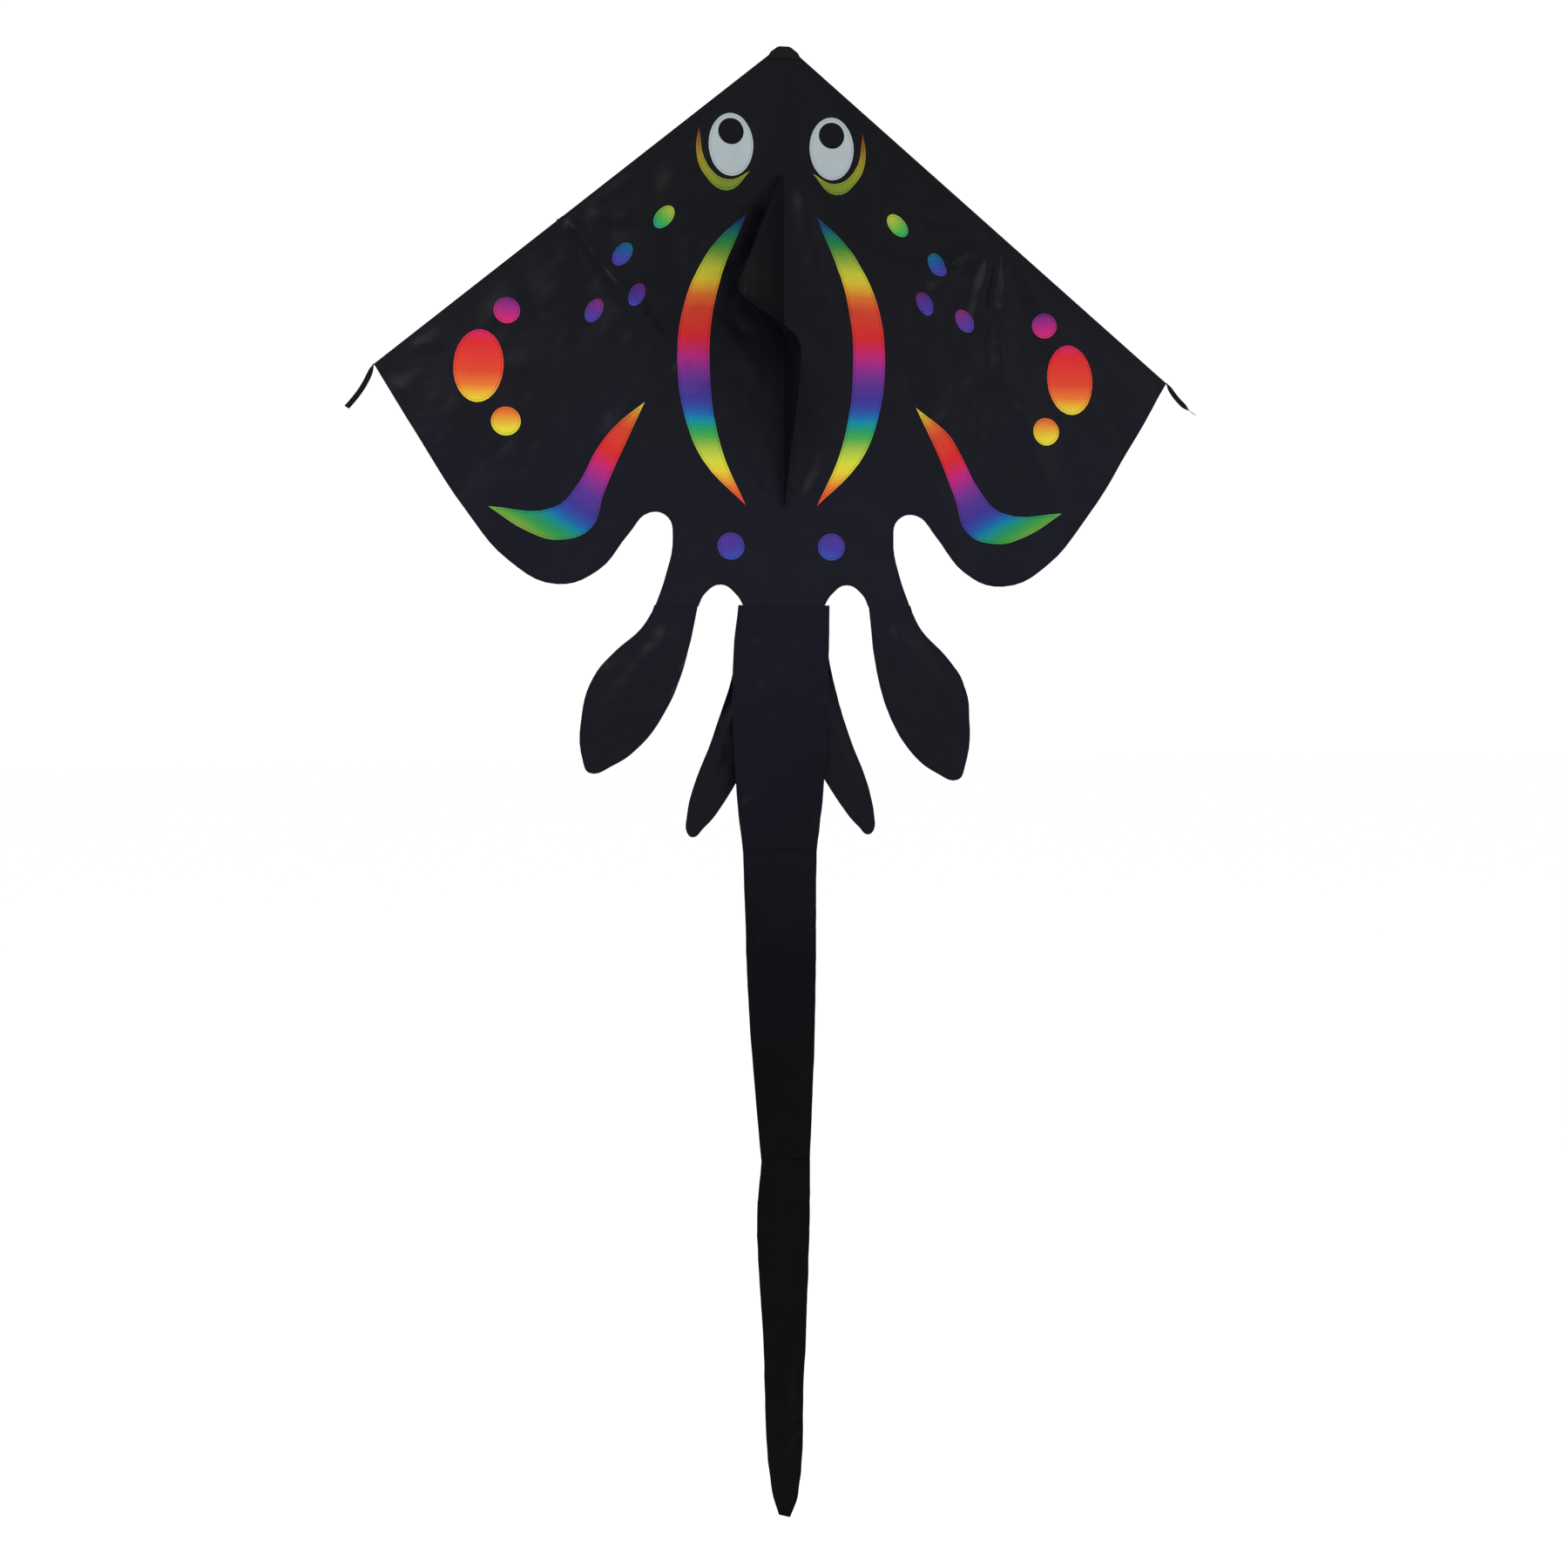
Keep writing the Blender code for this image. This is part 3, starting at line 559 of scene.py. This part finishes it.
def ripstop(tree, strength=0.35, crumple=0.5):
    """Bump of a ripstop weave: fine threads, a 5 mm grid of thicker ones, and a crisp crumple."""
    place = tree.add("ShaderNodeTexCoord").outputs["Object"]
    axes = tree.add("ShaderNodeSeparateXYZ", {0: place})
    lines = []
    for axis in ("X", "Z"):
        turn = tree.math("MULTIPLY", axes.outputs[axis], math.pi / RIPSTOP_GRID)
        lines.append(tree.math("POWER", tree.math("ABSOLUTE", tree.math("COSINE", turn)), 30.0))
    grid = tree.math("MAXIMUM", *lines)
    threads = []
    for axis in ("X", "Z"):
        turn = tree.math("MULTIPLY", axes.outputs[axis], 2 * math.pi / RIPSTOP_THREAD)
        threads.append(tree.math("SINE", turn))
    weave = tree.math("MULTIPLY", tree.math("ADD", *threads), 0.25)
    height = tree.math("ADD", grid, weave)
    soft = tree.add(
        "ShaderNodeTexNoise",
        {"Vector": place, "Scale": 14.0, "Detail": 3.0, "Roughness": 0.5},
        noise_type="RIDGED_MULTIFRACTAL",
    )
    first = tree.add(
        "ShaderNodeBump", {"Height": soft.outputs["Fac"], "Strength": crumple, "Distance": 0.0012}
    )
    second = tree.add(
        "ShaderNodeBump",
        {"Height": height, "Strength": strength, "Distance": 0.0001, "Normal": first.outputs[0]},
    )
    tree.plug(tree.shader.inputs["Normal"], second.outputs[0])
    return place, axes, grid


def finish_cloth(tree, roughness, specular):
    tree.shader.inputs["Roughness"].default_value = roughness
    tree.shader.inputs["Specular IOR Level"].default_value = specular
    return tree.material


def black_ripstop(name, upper, lower, top, bottom, specular=0.08):
    """Black ripstop whose colour shifts from its upper to its lower colour, in random patches."""
    tree = Tree(name)
    place, axes, grid = ripstop(tree)
    # From top to bottom the colour goes from upper to lower: on the sail this is painted shade, darker towards the
    # top.
    share = tree.add(
        "ShaderNodeMapRange", {"Value": axes.outputs["Z"], "From Min": top, "From Max": bottom}
    ).outputs["Result"]
    patchy = tree.add("ShaderNodeTexNoise", {"Vector": place, "Scale": 5.0, "Detail": 2.0})
    share = tree.math("ADD", share, tree.math("MULTIPLY", patchy.outputs["Fac"], 0.5))
    shifts = ((0.0, linear(upper)), (1.0, linear(lower)))
    colour = tree.ramp(tree.math("SUBTRACT", share, 0.25), shifts)
    # The thicker threads of the grid are painted a little lighter: painted sheen.
    thread_sheen = tree.add(
        "ShaderNodeMix",
        {"Factor": tree.math("MULTIPLY", grid, 0.25), 6: colour, 7: (0.012, 0.012, 0.015, 1)},
        data_type="RGBA",
    )
    tree.plug(tree.shader.inputs["Base Color"], thread_sheen.outputs[2])
    return finish_cloth(tree, 0.38, specular)


def rainbow_cloth(name, direction, phase, shade_stops, top, bottom):
    """Ripstop in the repeating rainbow dye, which runs against direction (x, z), under painted shade that is
    darker mostly towards the top.
    """
    tree = Tree(name)
    place, axes, grid = ripstop(tree, strength=0.2, crumple=0.3)
    run = tree.add(
        "ShaderNodeVectorMath",
        {0: place, 1: (-direction[0] / RAINBOW_REPEAT, 0, -direction[1] / RAINBOW_REPEAT)},
        operation="DOT_PRODUCT",
    ).outputs["Value"]
    uneven = tree.add("ShaderNodeTexNoise", {"Vector": place, "Scale": 30.0, "Detail": 3.0})
    run = tree.math("ADD", run, tree.math("MULTIPLY", uneven.outputs["Fac"], 0.018))
    repeat = tree.math("FRACT", tree.math("ADD", run, phase - 0.009))
    stops = [(at, linear(colour)) for at, colour in RAINBOW]
    colour = tree.ramp(repeat, stops + [(1.0, stops[0][1])])
    # Painted shade: the colour is multiplied by a grey ramp from the top of the patch to its bottom, darker mostly
    # near the top.
    down = tree.add(
        "ShaderNodeMapRange", {"Value": axes.outputs["Z"], "From Min": top, "From Max": bottom}
    )
    strength = tree.ramp(down.outputs["Result"], [(at, (share,) * 3) for at, share in shade_stops])
    shaded_dye = tree.add(
        "ShaderNodeMix",
        {"Factor": 1.0, 6: colour, 7: strength},
        data_type="RGBA",
        blend_type="MULTIPLY",
    )
    # The thicker threads of the grid are painted a little paler: painted sheen.
    threads = tree.add(
        "ShaderNodeMix",
        {"Factor": tree.math("MULTIPLY", grid, 0.02), 6: shaded_dye.outputs[2], 7: (0.9, 0.9, 0.9, 1)},
        data_type="RGBA",
    )
    tree.plug(tree.shader.inputs["Base Color"], threads.outputs[2])
    return finish_cloth(tree, 0.5, 0.04)


def plain_ripstop(name, colour, roughness=0.5):
    """Ripstop of one colour, whose thicker threads catch a little more light."""
    tree = Tree(name)
    _, _, grid = ripstop(tree, crumple=0.25)
    base = (*linear(colour), 1)
    brighter = tuple(min(c * 1.6, 1) for c in base)
    thread_sheen = tree.add(
        "ShaderNodeMix",
        {"Factor": tree.math("MULTIPLY", grid, 0.2), 6: base, 7: brighter},
        data_type="RGBA",
    )
    tree.plug(tree.shader.inputs["Base Color"], thread_sheen.outputs[2])
    return finish_cloth(tree, roughness, 0.06)


def webbing(name, colour, pitch):
    """Woven tape, with a twill that runs across it."""
    tree = Tree(name)
    place = tree.add("ShaderNodeTexCoord").outputs["Object"]
    axes = tree.add("ShaderNodeSeparateXYZ", {0: place})
    slant = tree.math("ADD", axes.outputs["X"], tree.math("MULTIPLY", axes.outputs["Z"], 0.7))
    rib = tree.math("SINE", tree.math("MULTIPLY", slant, 2 * math.pi / pitch))
    bump = tree.add("ShaderNodeBump", {"Height": rib, "Strength": 0.5, "Distance": 0.0002})
    tree.plug(tree.shader.inputs["Normal"], bump.outputs[0])
    # The twill's grooves are painted darker than its ribs: painted shade.
    shade = tree.add("ShaderNodeMapRange", {"Value": rib, "From Min": -1.0, "To Min": 0.7})
    twill_shaded = tree.add(
        "ShaderNodeMix",
        {"Factor": shade.outputs[0], 6: (0, 0, 0, 1), 7: (*linear(colour), 1)},
        data_type="RGBA",
    )
    tree.plug(tree.shader.inputs["Base Color"], twill_shaded.outputs[2])
    return finish_cloth(tree, 0.6, 0.08)


def hard(name, colour, roughness, metallic=0.0, grain=0.0, specular=0.5):
    """Plastic, glass fibre or metal with a fine surface grain."""
    tree = Tree(name)
    place = tree.add("ShaderNodeTexCoord").outputs["Object"]
    speck = tree.add("ShaderNodeTexNoise", {"Vector": place, "Scale": 900.0, "Detail": 3.0})
    rough = tree.add(
        "ShaderNodeMapRange",
        {"Value": speck.outputs["Fac"], "To Min": roughness - 0.08, "To Max": roughness + 0.08},
    )
    tree.plug(tree.shader.inputs["Roughness"], rough.outputs["Result"])
    bump = tree.add(
        "ShaderNodeBump", {"Height": speck.outputs["Fac"], "Strength": grain, "Distance": 0.0001}
    )
    tree.plug(tree.shader.inputs["Normal"], bump.outputs[0])
    tree.shader.inputs["Base Color"].default_value = (*linear(colour), 1)
    tree.shader.inputs["Metallic"].default_value = metallic
    tree.shader.inputs["Specular IOR Level"].default_value = specular
    return tree.material


def dress(obj, material, slot, *replaced):
    """Gives obj its material, and hides the CAD nodes that it stands for. slot is not used."""
    obj.data.materials.clear()
    obj.data.materials.append(material)
    if replaced:
        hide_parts(*replaced)


def fold_with_wing(obj):
    """Bakes obj's transform into its mesh."""
    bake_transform(obj)


def chain(*corners):
    """A row through corners given in millimetres."""
    return np.array(corners, float) * MM


# On the sail the darker upper colour is painted shade; the lobes, tail and keel are simply darker towards the
# bottom.
BLACK_SAIL = black_ripstop("black_ripstop_sail", (4, 5, 9), (12, 12, 24), -0.3, -0.95)
BLACK_LOBE = black_ripstop("black_ripstop_lobe", (11, 11, 22), (8, 8, 17), -1.05, -1.4)
BLACK_TAIL = black_ripstop("black_ripstop_tail", (15, 15, 26), (1, 1, 3), -1.1, -1.9, 0.045)
BLACK_KEEL = black_ripstop("black_ripstop_keel", (11, 12, 16), (9, 9, 13), -0.44, -0.54)
EYE_WHITE = plain_ripstop("white_ripstop", (143, 152, 155))
PUPIL_BLACK = plain_ripstop("pupil_ripstop", (10, 10, 14), 0.45)
THREAD = hard("sewing_thread", (7, 7, 9), 0.7, specular=0.06)
RING_THREAD = hard("eye_thread", (96, 104, 112), 0.7, specular=0.1)
WEBBING = webbing("nose_webbing", (13, 13, 15), 0.0016)
RIBBON = webbing("ribbon_weave", (12, 12, 14), 0.0012)


def make_sail(side_name):
    """One side of the sail, with the stitches of its hem, rod sleeve, seam and pocket."""
    side = SIDES[side_name]
    surface = sail_surface(side_name)
    outline = face_outline(f"sail_{side_name}")
    outline[np.abs(outline[:, 0]) < 2 * MM, 0] = 0.0
    cuts = [side * x * MM for x in (1, 2, 3.2, 5)]
    sail = cloth_piece(f"sail_cloth_{side_name}", outline, surface, cuts=cuts)
    dress(sail, BLACK_SAIL, "ripstop_black", f"sail_{side_name}")
    fold_with_wing(sail)
    edge = (WING_TIP - LEADING_EDGE_START).normalized()
    hem = []
    for row in inset_rows(outline, HEM_INSET):
        out, z = np.abs(row[:, 0]), row[:, 1]
        off_edge = (out - LEADING_EDGE_START.x) * edge.z - (z - LEADING_EDGE_START.z) * edge.x
        keep = (out > 9 * MM) & (off_edge > 12 * MM)
        runs = np.split(row, np.where(~keep)[0])
        hem += [r[1:] for r in runs if len(r) > 5]
    inward = Vector((edge.z, 0, -edge.x))
    sleeve_row = []
    for along in (0.03, 0.955):
        point = LEADING_EDGE_START + edge * along + inward * SLEEVE_INSET
        sleeve_row.append((side * point.x, point.z))
    seam = chain((side * 3, -24), (side * 3, -1050))
    pocket = [
        chain((side * 2, -985), (side * 45, -1049)),
        chain((side * 2, -989), (side * 42, -1049)),
    ]
    rows = hem + [np.array(sleeve_row), seam] + pocket
    thread = stitches(f"sail_stitching_{side_name}", rows, surface, CLOTH)
    dress(thread, THREAD, "ripstop_black")
    fold_with_wing(thread)
    return surface


def make_patches(side_name, surface):
    """The eye, its pupil and the rainbow patches of one side, each with its ring of stitches."""
    side = SIDES[side_name]
    for name in ("eye_white", "pupil", *PATCH_DYE_AND_SHADE):
        node = f"{name}_{side_name}"
        outline = face_outline(node)
        thickness = PUPIL if name == "pupil" else PATCH
        is_round = name.startswith(("spot", "eye_white", "pupil"))
        smoother = resampled(outline, 4 * MM) if is_round else outline
        piece = cloth_piece(f"{name}_cloth_{side_name}", smoother, surface, thickness)
        if name in PATCH_DYE_AND_SHADE:
            # The way the dye runs, its phase, and the painted shade over the patch
            direction, phase, shade_stops = PATCH_DYE_AND_SHADE[name]
            top, bottom = float(outline[:, 1].max()), float(outline[:, 1].min())
            away = (side * direction[0], direction[1])
            cloth = rainbow_cloth(f"rainbow_{node}", away, phase, shade_stops, top, bottom)
        else:
            cloth = PUPIL_BLACK if name == "pupil" else EYE_WHITE
        slot = next(s["material_slot"] for s in frame["record"]["subparts"] if s["node"] == node)
        dress(piece, cloth, slot, node)
        fold_with_wing(piece)
        rows = inset_rows(outline, PATCH_INSET)
        thread = stitches(f"{name}_stitching_{side_name}", rows, surface, thickness)
        dress(thread, RING_THREAD if name == "eye_white" else THREAD, slot)
        fold_with_wing(thread)


def make_hanging(node, creases, top, level, cloth, seed, sway=0.0, lift=0.0):
    """A piece that hangs from a seam: flat along it, and loose below it.

    lift is how far it reaches up past its CAD node, under or over the piece above.
    """
    name = f"{node}_cloth"
    outline = face_outline(node)
    outline[outline[:, 1] > top - SEAM_ALLOWANCE, 1] += lift
    surface = hanging_surface(creases, top, level, seed, sway)
    piece = cloth_piece(name, outline, surface)
    dress(piece, cloth, "ripstop_black", node)
    thread = stitches(f"{name}_stitching", inset_rows(outline, HEM_INSET), surface, CLOTH)
    dress(thread, THREAD, "ripstop_black")
    for obj in (piece, thread):
        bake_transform(obj)


def make_tail():
    """The tail's three lengths, each hung from the one above."""
    bodies = ("spine", "tail_upper", "tail_middle", "tail_lower")
    for index, name in enumerate(bodies[1:]):
        make_hanging(
            name,
            name,
            TAIL_JOINTS[index],
            TAIL_LEVELS[index],
            BLACK_TAIL,
            11.0 + index,
            lift=SEAM_OVERLAP,
        )


def make_lobes(side_name):
    """The outer lobe, which hangs from the sail, and the inner lobe, from the tail."""
    side = SIDES[side_name]
    outer, inner = f"outer_lobe_{side_name}", f"inner_lobe_{side_name}"
    make_hanging(
        outer,
        "outer_lobe",
        SEAM_Z,
        OUTER_LOBE_LEVEL,
        BLACK_LOBE,
        21.0 + side,
        sway=OUTER_LOBE_SWAY * side,
        lift=SEAM_OVERLAP,
    )
    make_hanging(
        inner,
        "inner_lobe",
        SEAM_Z - 1 * MM,
        INNER_LOBE_LEVEL,
        BLACK_LOBE,
        31.0 + side,
        sway=INNER_LOBE_SWAY,
    )


def keel_depth(z):
    """How far the keel's free edge stands from the centre line, round at the tow corner."""
    rise = KEEL_DEPTH - KEEL_END_DEPTH
    upper = KEEL_END_DEPTH + rise * (KEEL_TOP - z) / (KEEL_TOP - KEEL_TOW)
    lower = KEEL_END_DEPTH + rise * (z - KEEL_BOTTOM) / (KEEL_TOW - KEEL_BOTTOM)
    mix = min(max(0.5 + 0.5 * (lower - upper) / KEEL_CORNER, 0.0), 1.0)
    return lower + (upper - lower) * mix - KEEL_CORNER * mix * (1 - mix) / 2


def keel_point(share, z):
    """A point on the keel, share of the way from the seam to its free edge."""
    depth = KEEL_ROOT + (keel_depth(z) - KEEL_ROOT) * share
    bend = float(ease((KEEL_LEAN_FROM - z) / (KEEL_LEAN_FROM - KEEL_LEAN_TO)))
    lean = KEEL_LEAN_UPPER + (KEEL_LEAN_LOWER - KEEL_LEAN_UPPER) * bend
    below_tow = min(max((KEEL_TOW - z) / KEEL_CURL_LENGTH, 0), 1)
    curl = KEEL_CURL * share * share * math.sin(math.pi * below_tow)
    crumple = KEEL_CRUMPLE * noise.noise(Vector((depth / 0.05, z / 0.09, 7.0))) * share
    lean -= curl
    point = Vector((-depth * math.sin(lean), -depth * math.cos(lean), z))
    return point + Vector((math.cos(lean), -math.sin(lean), 0)) * crumple


def make_keel():
    """The keel, cut for its eyelet, with stitching round its hem."""
    shape = bmesh.new()
    grid = []
    for i in range(KEEL_COLUMNS + 1):
        z = KEEL_BOTTOM + (KEEL_TOP - KEEL_BOTTOM) * i / KEEL_COLUMNS
        shares = [j / KEEL_ROWS for j in range(KEEL_ROWS + 1)]
        grid.append([shape.verts.new(keel_point(share, z)) for share in shares])
    join_rows(shape, grid)
    bmesh.ops.recalc_face_normals(shape, faces=shape.faces)
    keel = object_from(shape, "keel_cloth")
    thicken(keel, CLOTH)
    low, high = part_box("tow_eyelet")
    centre = (low + high) / 2
    normal = Vector((math.cos(KEEL_LEAN_UPPER), -math.sin(KEEL_LEAN_UPPER), 0))
    bpy.ops.mesh.primitive_cylinder_add(vertices=32, radius=EYELET_HOLE, depth=0.02)
    cutter = bpy.context.object
    turn = normal.to_track_quat("Z", "Y").to_matrix().to_4x4()
    cutter.matrix_world = Matrix.Translation(centre) @ turn
    hole = keel.modifiers.new("hole", "BOOLEAN")
    hole.operation = "DIFFERENCE"
    hole.object = cutter
    settle(keel)
    bpy.data.objects.remove(cutter)
    dress(keel, BLACK_KEEL, "ripstop_black", "keel")
    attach(keel, "keel")
    thread = keel_stitching()


def keel_stitching():
    """Two rows of stitches along the keel's free edge, on both of its sides."""
    corners, faces = [], []
    for inset in KEEL_INSETS:
        z = KEEL_BOTTOM + 4 * MM
        while z < KEEL_TOP - 6 * MM:
            share = 1 - inset / keel_depth(z)
            here = keel_point(share, z)
            steepness = (keel_point(share, z + 0.001) - here).length / 0.001
            there = keel_point(share, z + STITCH_LENGTH / steepness)
            inner = (keel_point(share - 0.02, z) - here).normalized() * STITCH_WIDTH / 2
            out = (there - here).cross(inner).normalized() * (CLOTH / 2 + STITCH_PROUD)
            flat = (here - inner, there - inner, there + inner, here + inner)
            start = len(corners)
            for depth in (-out, out):
                corners += [corner + depth for corner in flat]
            faces += [tuple(start + i for i in face) for face in BOX_FACES]
            z += STITCH_PITCH / steepness
    mesh = bpy.data.meshes.new("keel_stitching")
    mesh.from_pydata(corners, [], faces)
    thread = new_object("keel_stitching", mesh)
    fix_normals(thread)
    dress(thread, THREAD, "ripstop_black")
    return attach(thread, "keel")


def make_ribbon(side_name):
    """A wing-tip ribbon: pinched where it is sewn on, then flat, with its own twist."""
    node = f"wing_ribbon_{side_name}"
    joint = next(j for j in frame["joints"] if j["child"] == node)
    across = Vector(joint["axis"])
    run = Vector((across.z, 0, -across.x))
    tip = Vector(joint["pos_m"])
    length = RIBBON_LENGTH[side_name]
    first_twist, last_twist = RIBBON_TWIST[side_name]
    shape = bmesh.new()
    rows = []
    for step in range(RIBBON_STEPS + 1):
        t = step / RIBBON_STEPS
        pinch = 0.35 + 0.65 * float(ease(t / 0.14))
        turned = float(ease(t / 0.3))
        if side_name == "left":
            degrees = first_twist + (last_twist - first_twist) * turned
        else:
            degrees = first_twist * (1 - turned) + last_twist * float(ease((t - 0.6) / 0.3))
        twist = math.radians(degrees)
        bow = -SIDES[side_name] * 5 * MM * math.sin(math.pi * t)
        centre = tip + run * length * t + across * bow + Vector((0, -4 * MM * t * t, 0))
        half = across * math.cos(twist) + Vector((0, math.sin(twist), 0))
        half *= RIBBON_WIDTH / 2 * pinch
        rows.append([shape.verts.new(centre + half * place) for place in (-1, 0, 1)])
    join_rows(shape, rows)
    ribbon = object_from(shape, f"{node}_cloth")
    thicken(ribbon, RIBBON_THICKNESS)
    settle(ribbon)
    dress(ribbon, RIBBON, "ribbon_black", node)
    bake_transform(ribbon)


def make_nose(side_name):
    """Half of the webbing that is folded over the nose, front and back."""
    side = SIDES[side_name]
    shape = bmesh.new()
    columns = []
    for share in np.linspace(0, 1, NOSE_COLUMNS):
        column = []
        for y, z in NOSE_PROFILE:
            reach = float(np.interp(-z, NOSE_BELOW, NOSE_REACH))
            column.append(shape.verts.new((side * share * reach * MM, y * MM, z * MM)))
        columns.append(column)
    join_rows(shape, columns)
    bmesh.ops.recalc_face_normals(shape, faces=shape.faces)
    nose = object_from(shape, f"nose_webbing_{side_name}")
    thicken(nose, NOSE_THICKNESS)
    settle(nose, math.radians(60))
    dress(nose, WEBBING, "webbing_black", "nose_cap")
    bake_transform(nose)


def dress_frame():
    """Materials of the CAD nodes that stay as they are."""
    finishes = {
        "fibreglass": hard("fibreglass", (42, 42, 46), 0.38, grain=0.1),
        "moulded_nylon": hard("moulded_nylon", (30, 30, 31), 0.45, grain=0.3),
        "vinyl": hard("vinyl", (34, 34, 35), 0.35, grain=0.15),
        "eyelet_metal": hard("eyelet_metal", (38, 38, 40), 0.4, metallic=1.0, grain=0.1),
        "ripstop_black": BLACK_SAIL,
        "webbing_black": WEBBING,
    }
    slots = {s["node"]: s["material_slot"] for s in frame["record"]["subparts"]}
    for name, node in frame["nodes"].items():
        if node.hide_render:
            continue
        node.data.materials.clear()
        node.data.materials.append(finishes[slots[name]])
        node.data.set_sharp_from_angle(angle=math.radians(35))


def make_studio():
    """A plain pale floor under a white surround, soft lights, and the camera."""
    signs = ((-1, -1), (1, -1), (1, 1), (-1, 1))
    corners = [(x * FLOOR_REACH, y * FLOOR_REACH, FLOOR_Z) for x, y in signs]
    mesh = bpy.data.meshes.new("studio_floor")
    mesh.from_pydata(corners, [], [(0, 1, 2, 3)])
    floor = new_object("studio_floor", mesh)
    paper = bpy.data.materials.new("studio_paper")
    paper.use_nodes = True
    finish = paper.node_tree.nodes["Principled BSDF"].inputs
    finish["Base Color"].default_value = PAPER
    finish["Roughness"].default_value = 0.9
    finish["Specular IOR Level"].default_value = 0.0
    mesh.materials.append(paper)
    world = bpy.context.scene.world or bpy.data.worlds.new("studio")
    bpy.context.scene.world = world
    world.use_nodes = True
    surround = world.node_tree.nodes["Background"].inputs
    surround["Color"].default_value = (1, 1, 1, 1)
    surround["Strength"].default_value = SURROUND_STRENGTH
    bpy.context.scene.view_settings.view_transform = "Standard"
    add_light("key", (-2.0, -3.5, 1.5), (0, 0, -0.7), 1.3, 82)
    add_light("fill", (3.0, -3.4, 0.2), (0, 0, -1.2), 1.7, 12)
    add_light("back_rim", (2.8, 2.6, 1.6), (0, 0, -0.8), 2.0, 20)
    camera_data = bpy.data.cameras.new("camera")
    camera_data.sensor_width = SENSOR_WIDTH
    camera_data.lens = CAMERA_LENS
    camera_data.shift_y = CAMERA_SHIFT
    camera = bpy.data.objects.new("camera", camera_data)
    bpy.context.scene.collection.objects.link(camera)
    out = math.sin(CAMERA_AZIMUTH) * CAMERA_DISTANCE
    back = math.cos(CAMERA_AZIMUTH) * CAMERA_DISTANCE
    camera.location = (out, -back, CAMERA_HEIGHT)
    camera.rotation_euler = (math.pi / 2, 0, CAMERA_AZIMUTH)
    bpy.context.scene.camera = camera


def add_light(name, place, target, size, watts):
    """A square lamp at place that faces target."""
    data = bpy.data.lights.new(name, "AREA")
    data.size = size
    data.energy = watts
    lamp = bpy.data.objects.new(name, data)
    lamp.location = place
    lamp.rotation_euler = (Vector(target) - Vector(place)).to_track_quat("-Z", "Y").to_euler()
    bpy.context.scene.collection.objects.link(lamp)


for wing_side in SIDES:
    wing_surface = make_sail(wing_side)
    make_patches(wing_side, wing_surface)
    make_lobes(wing_side)
    make_ribbon(wing_side)
    make_nose(wing_side)
make_tail()
make_keel()
dress_frame()
make_studio()
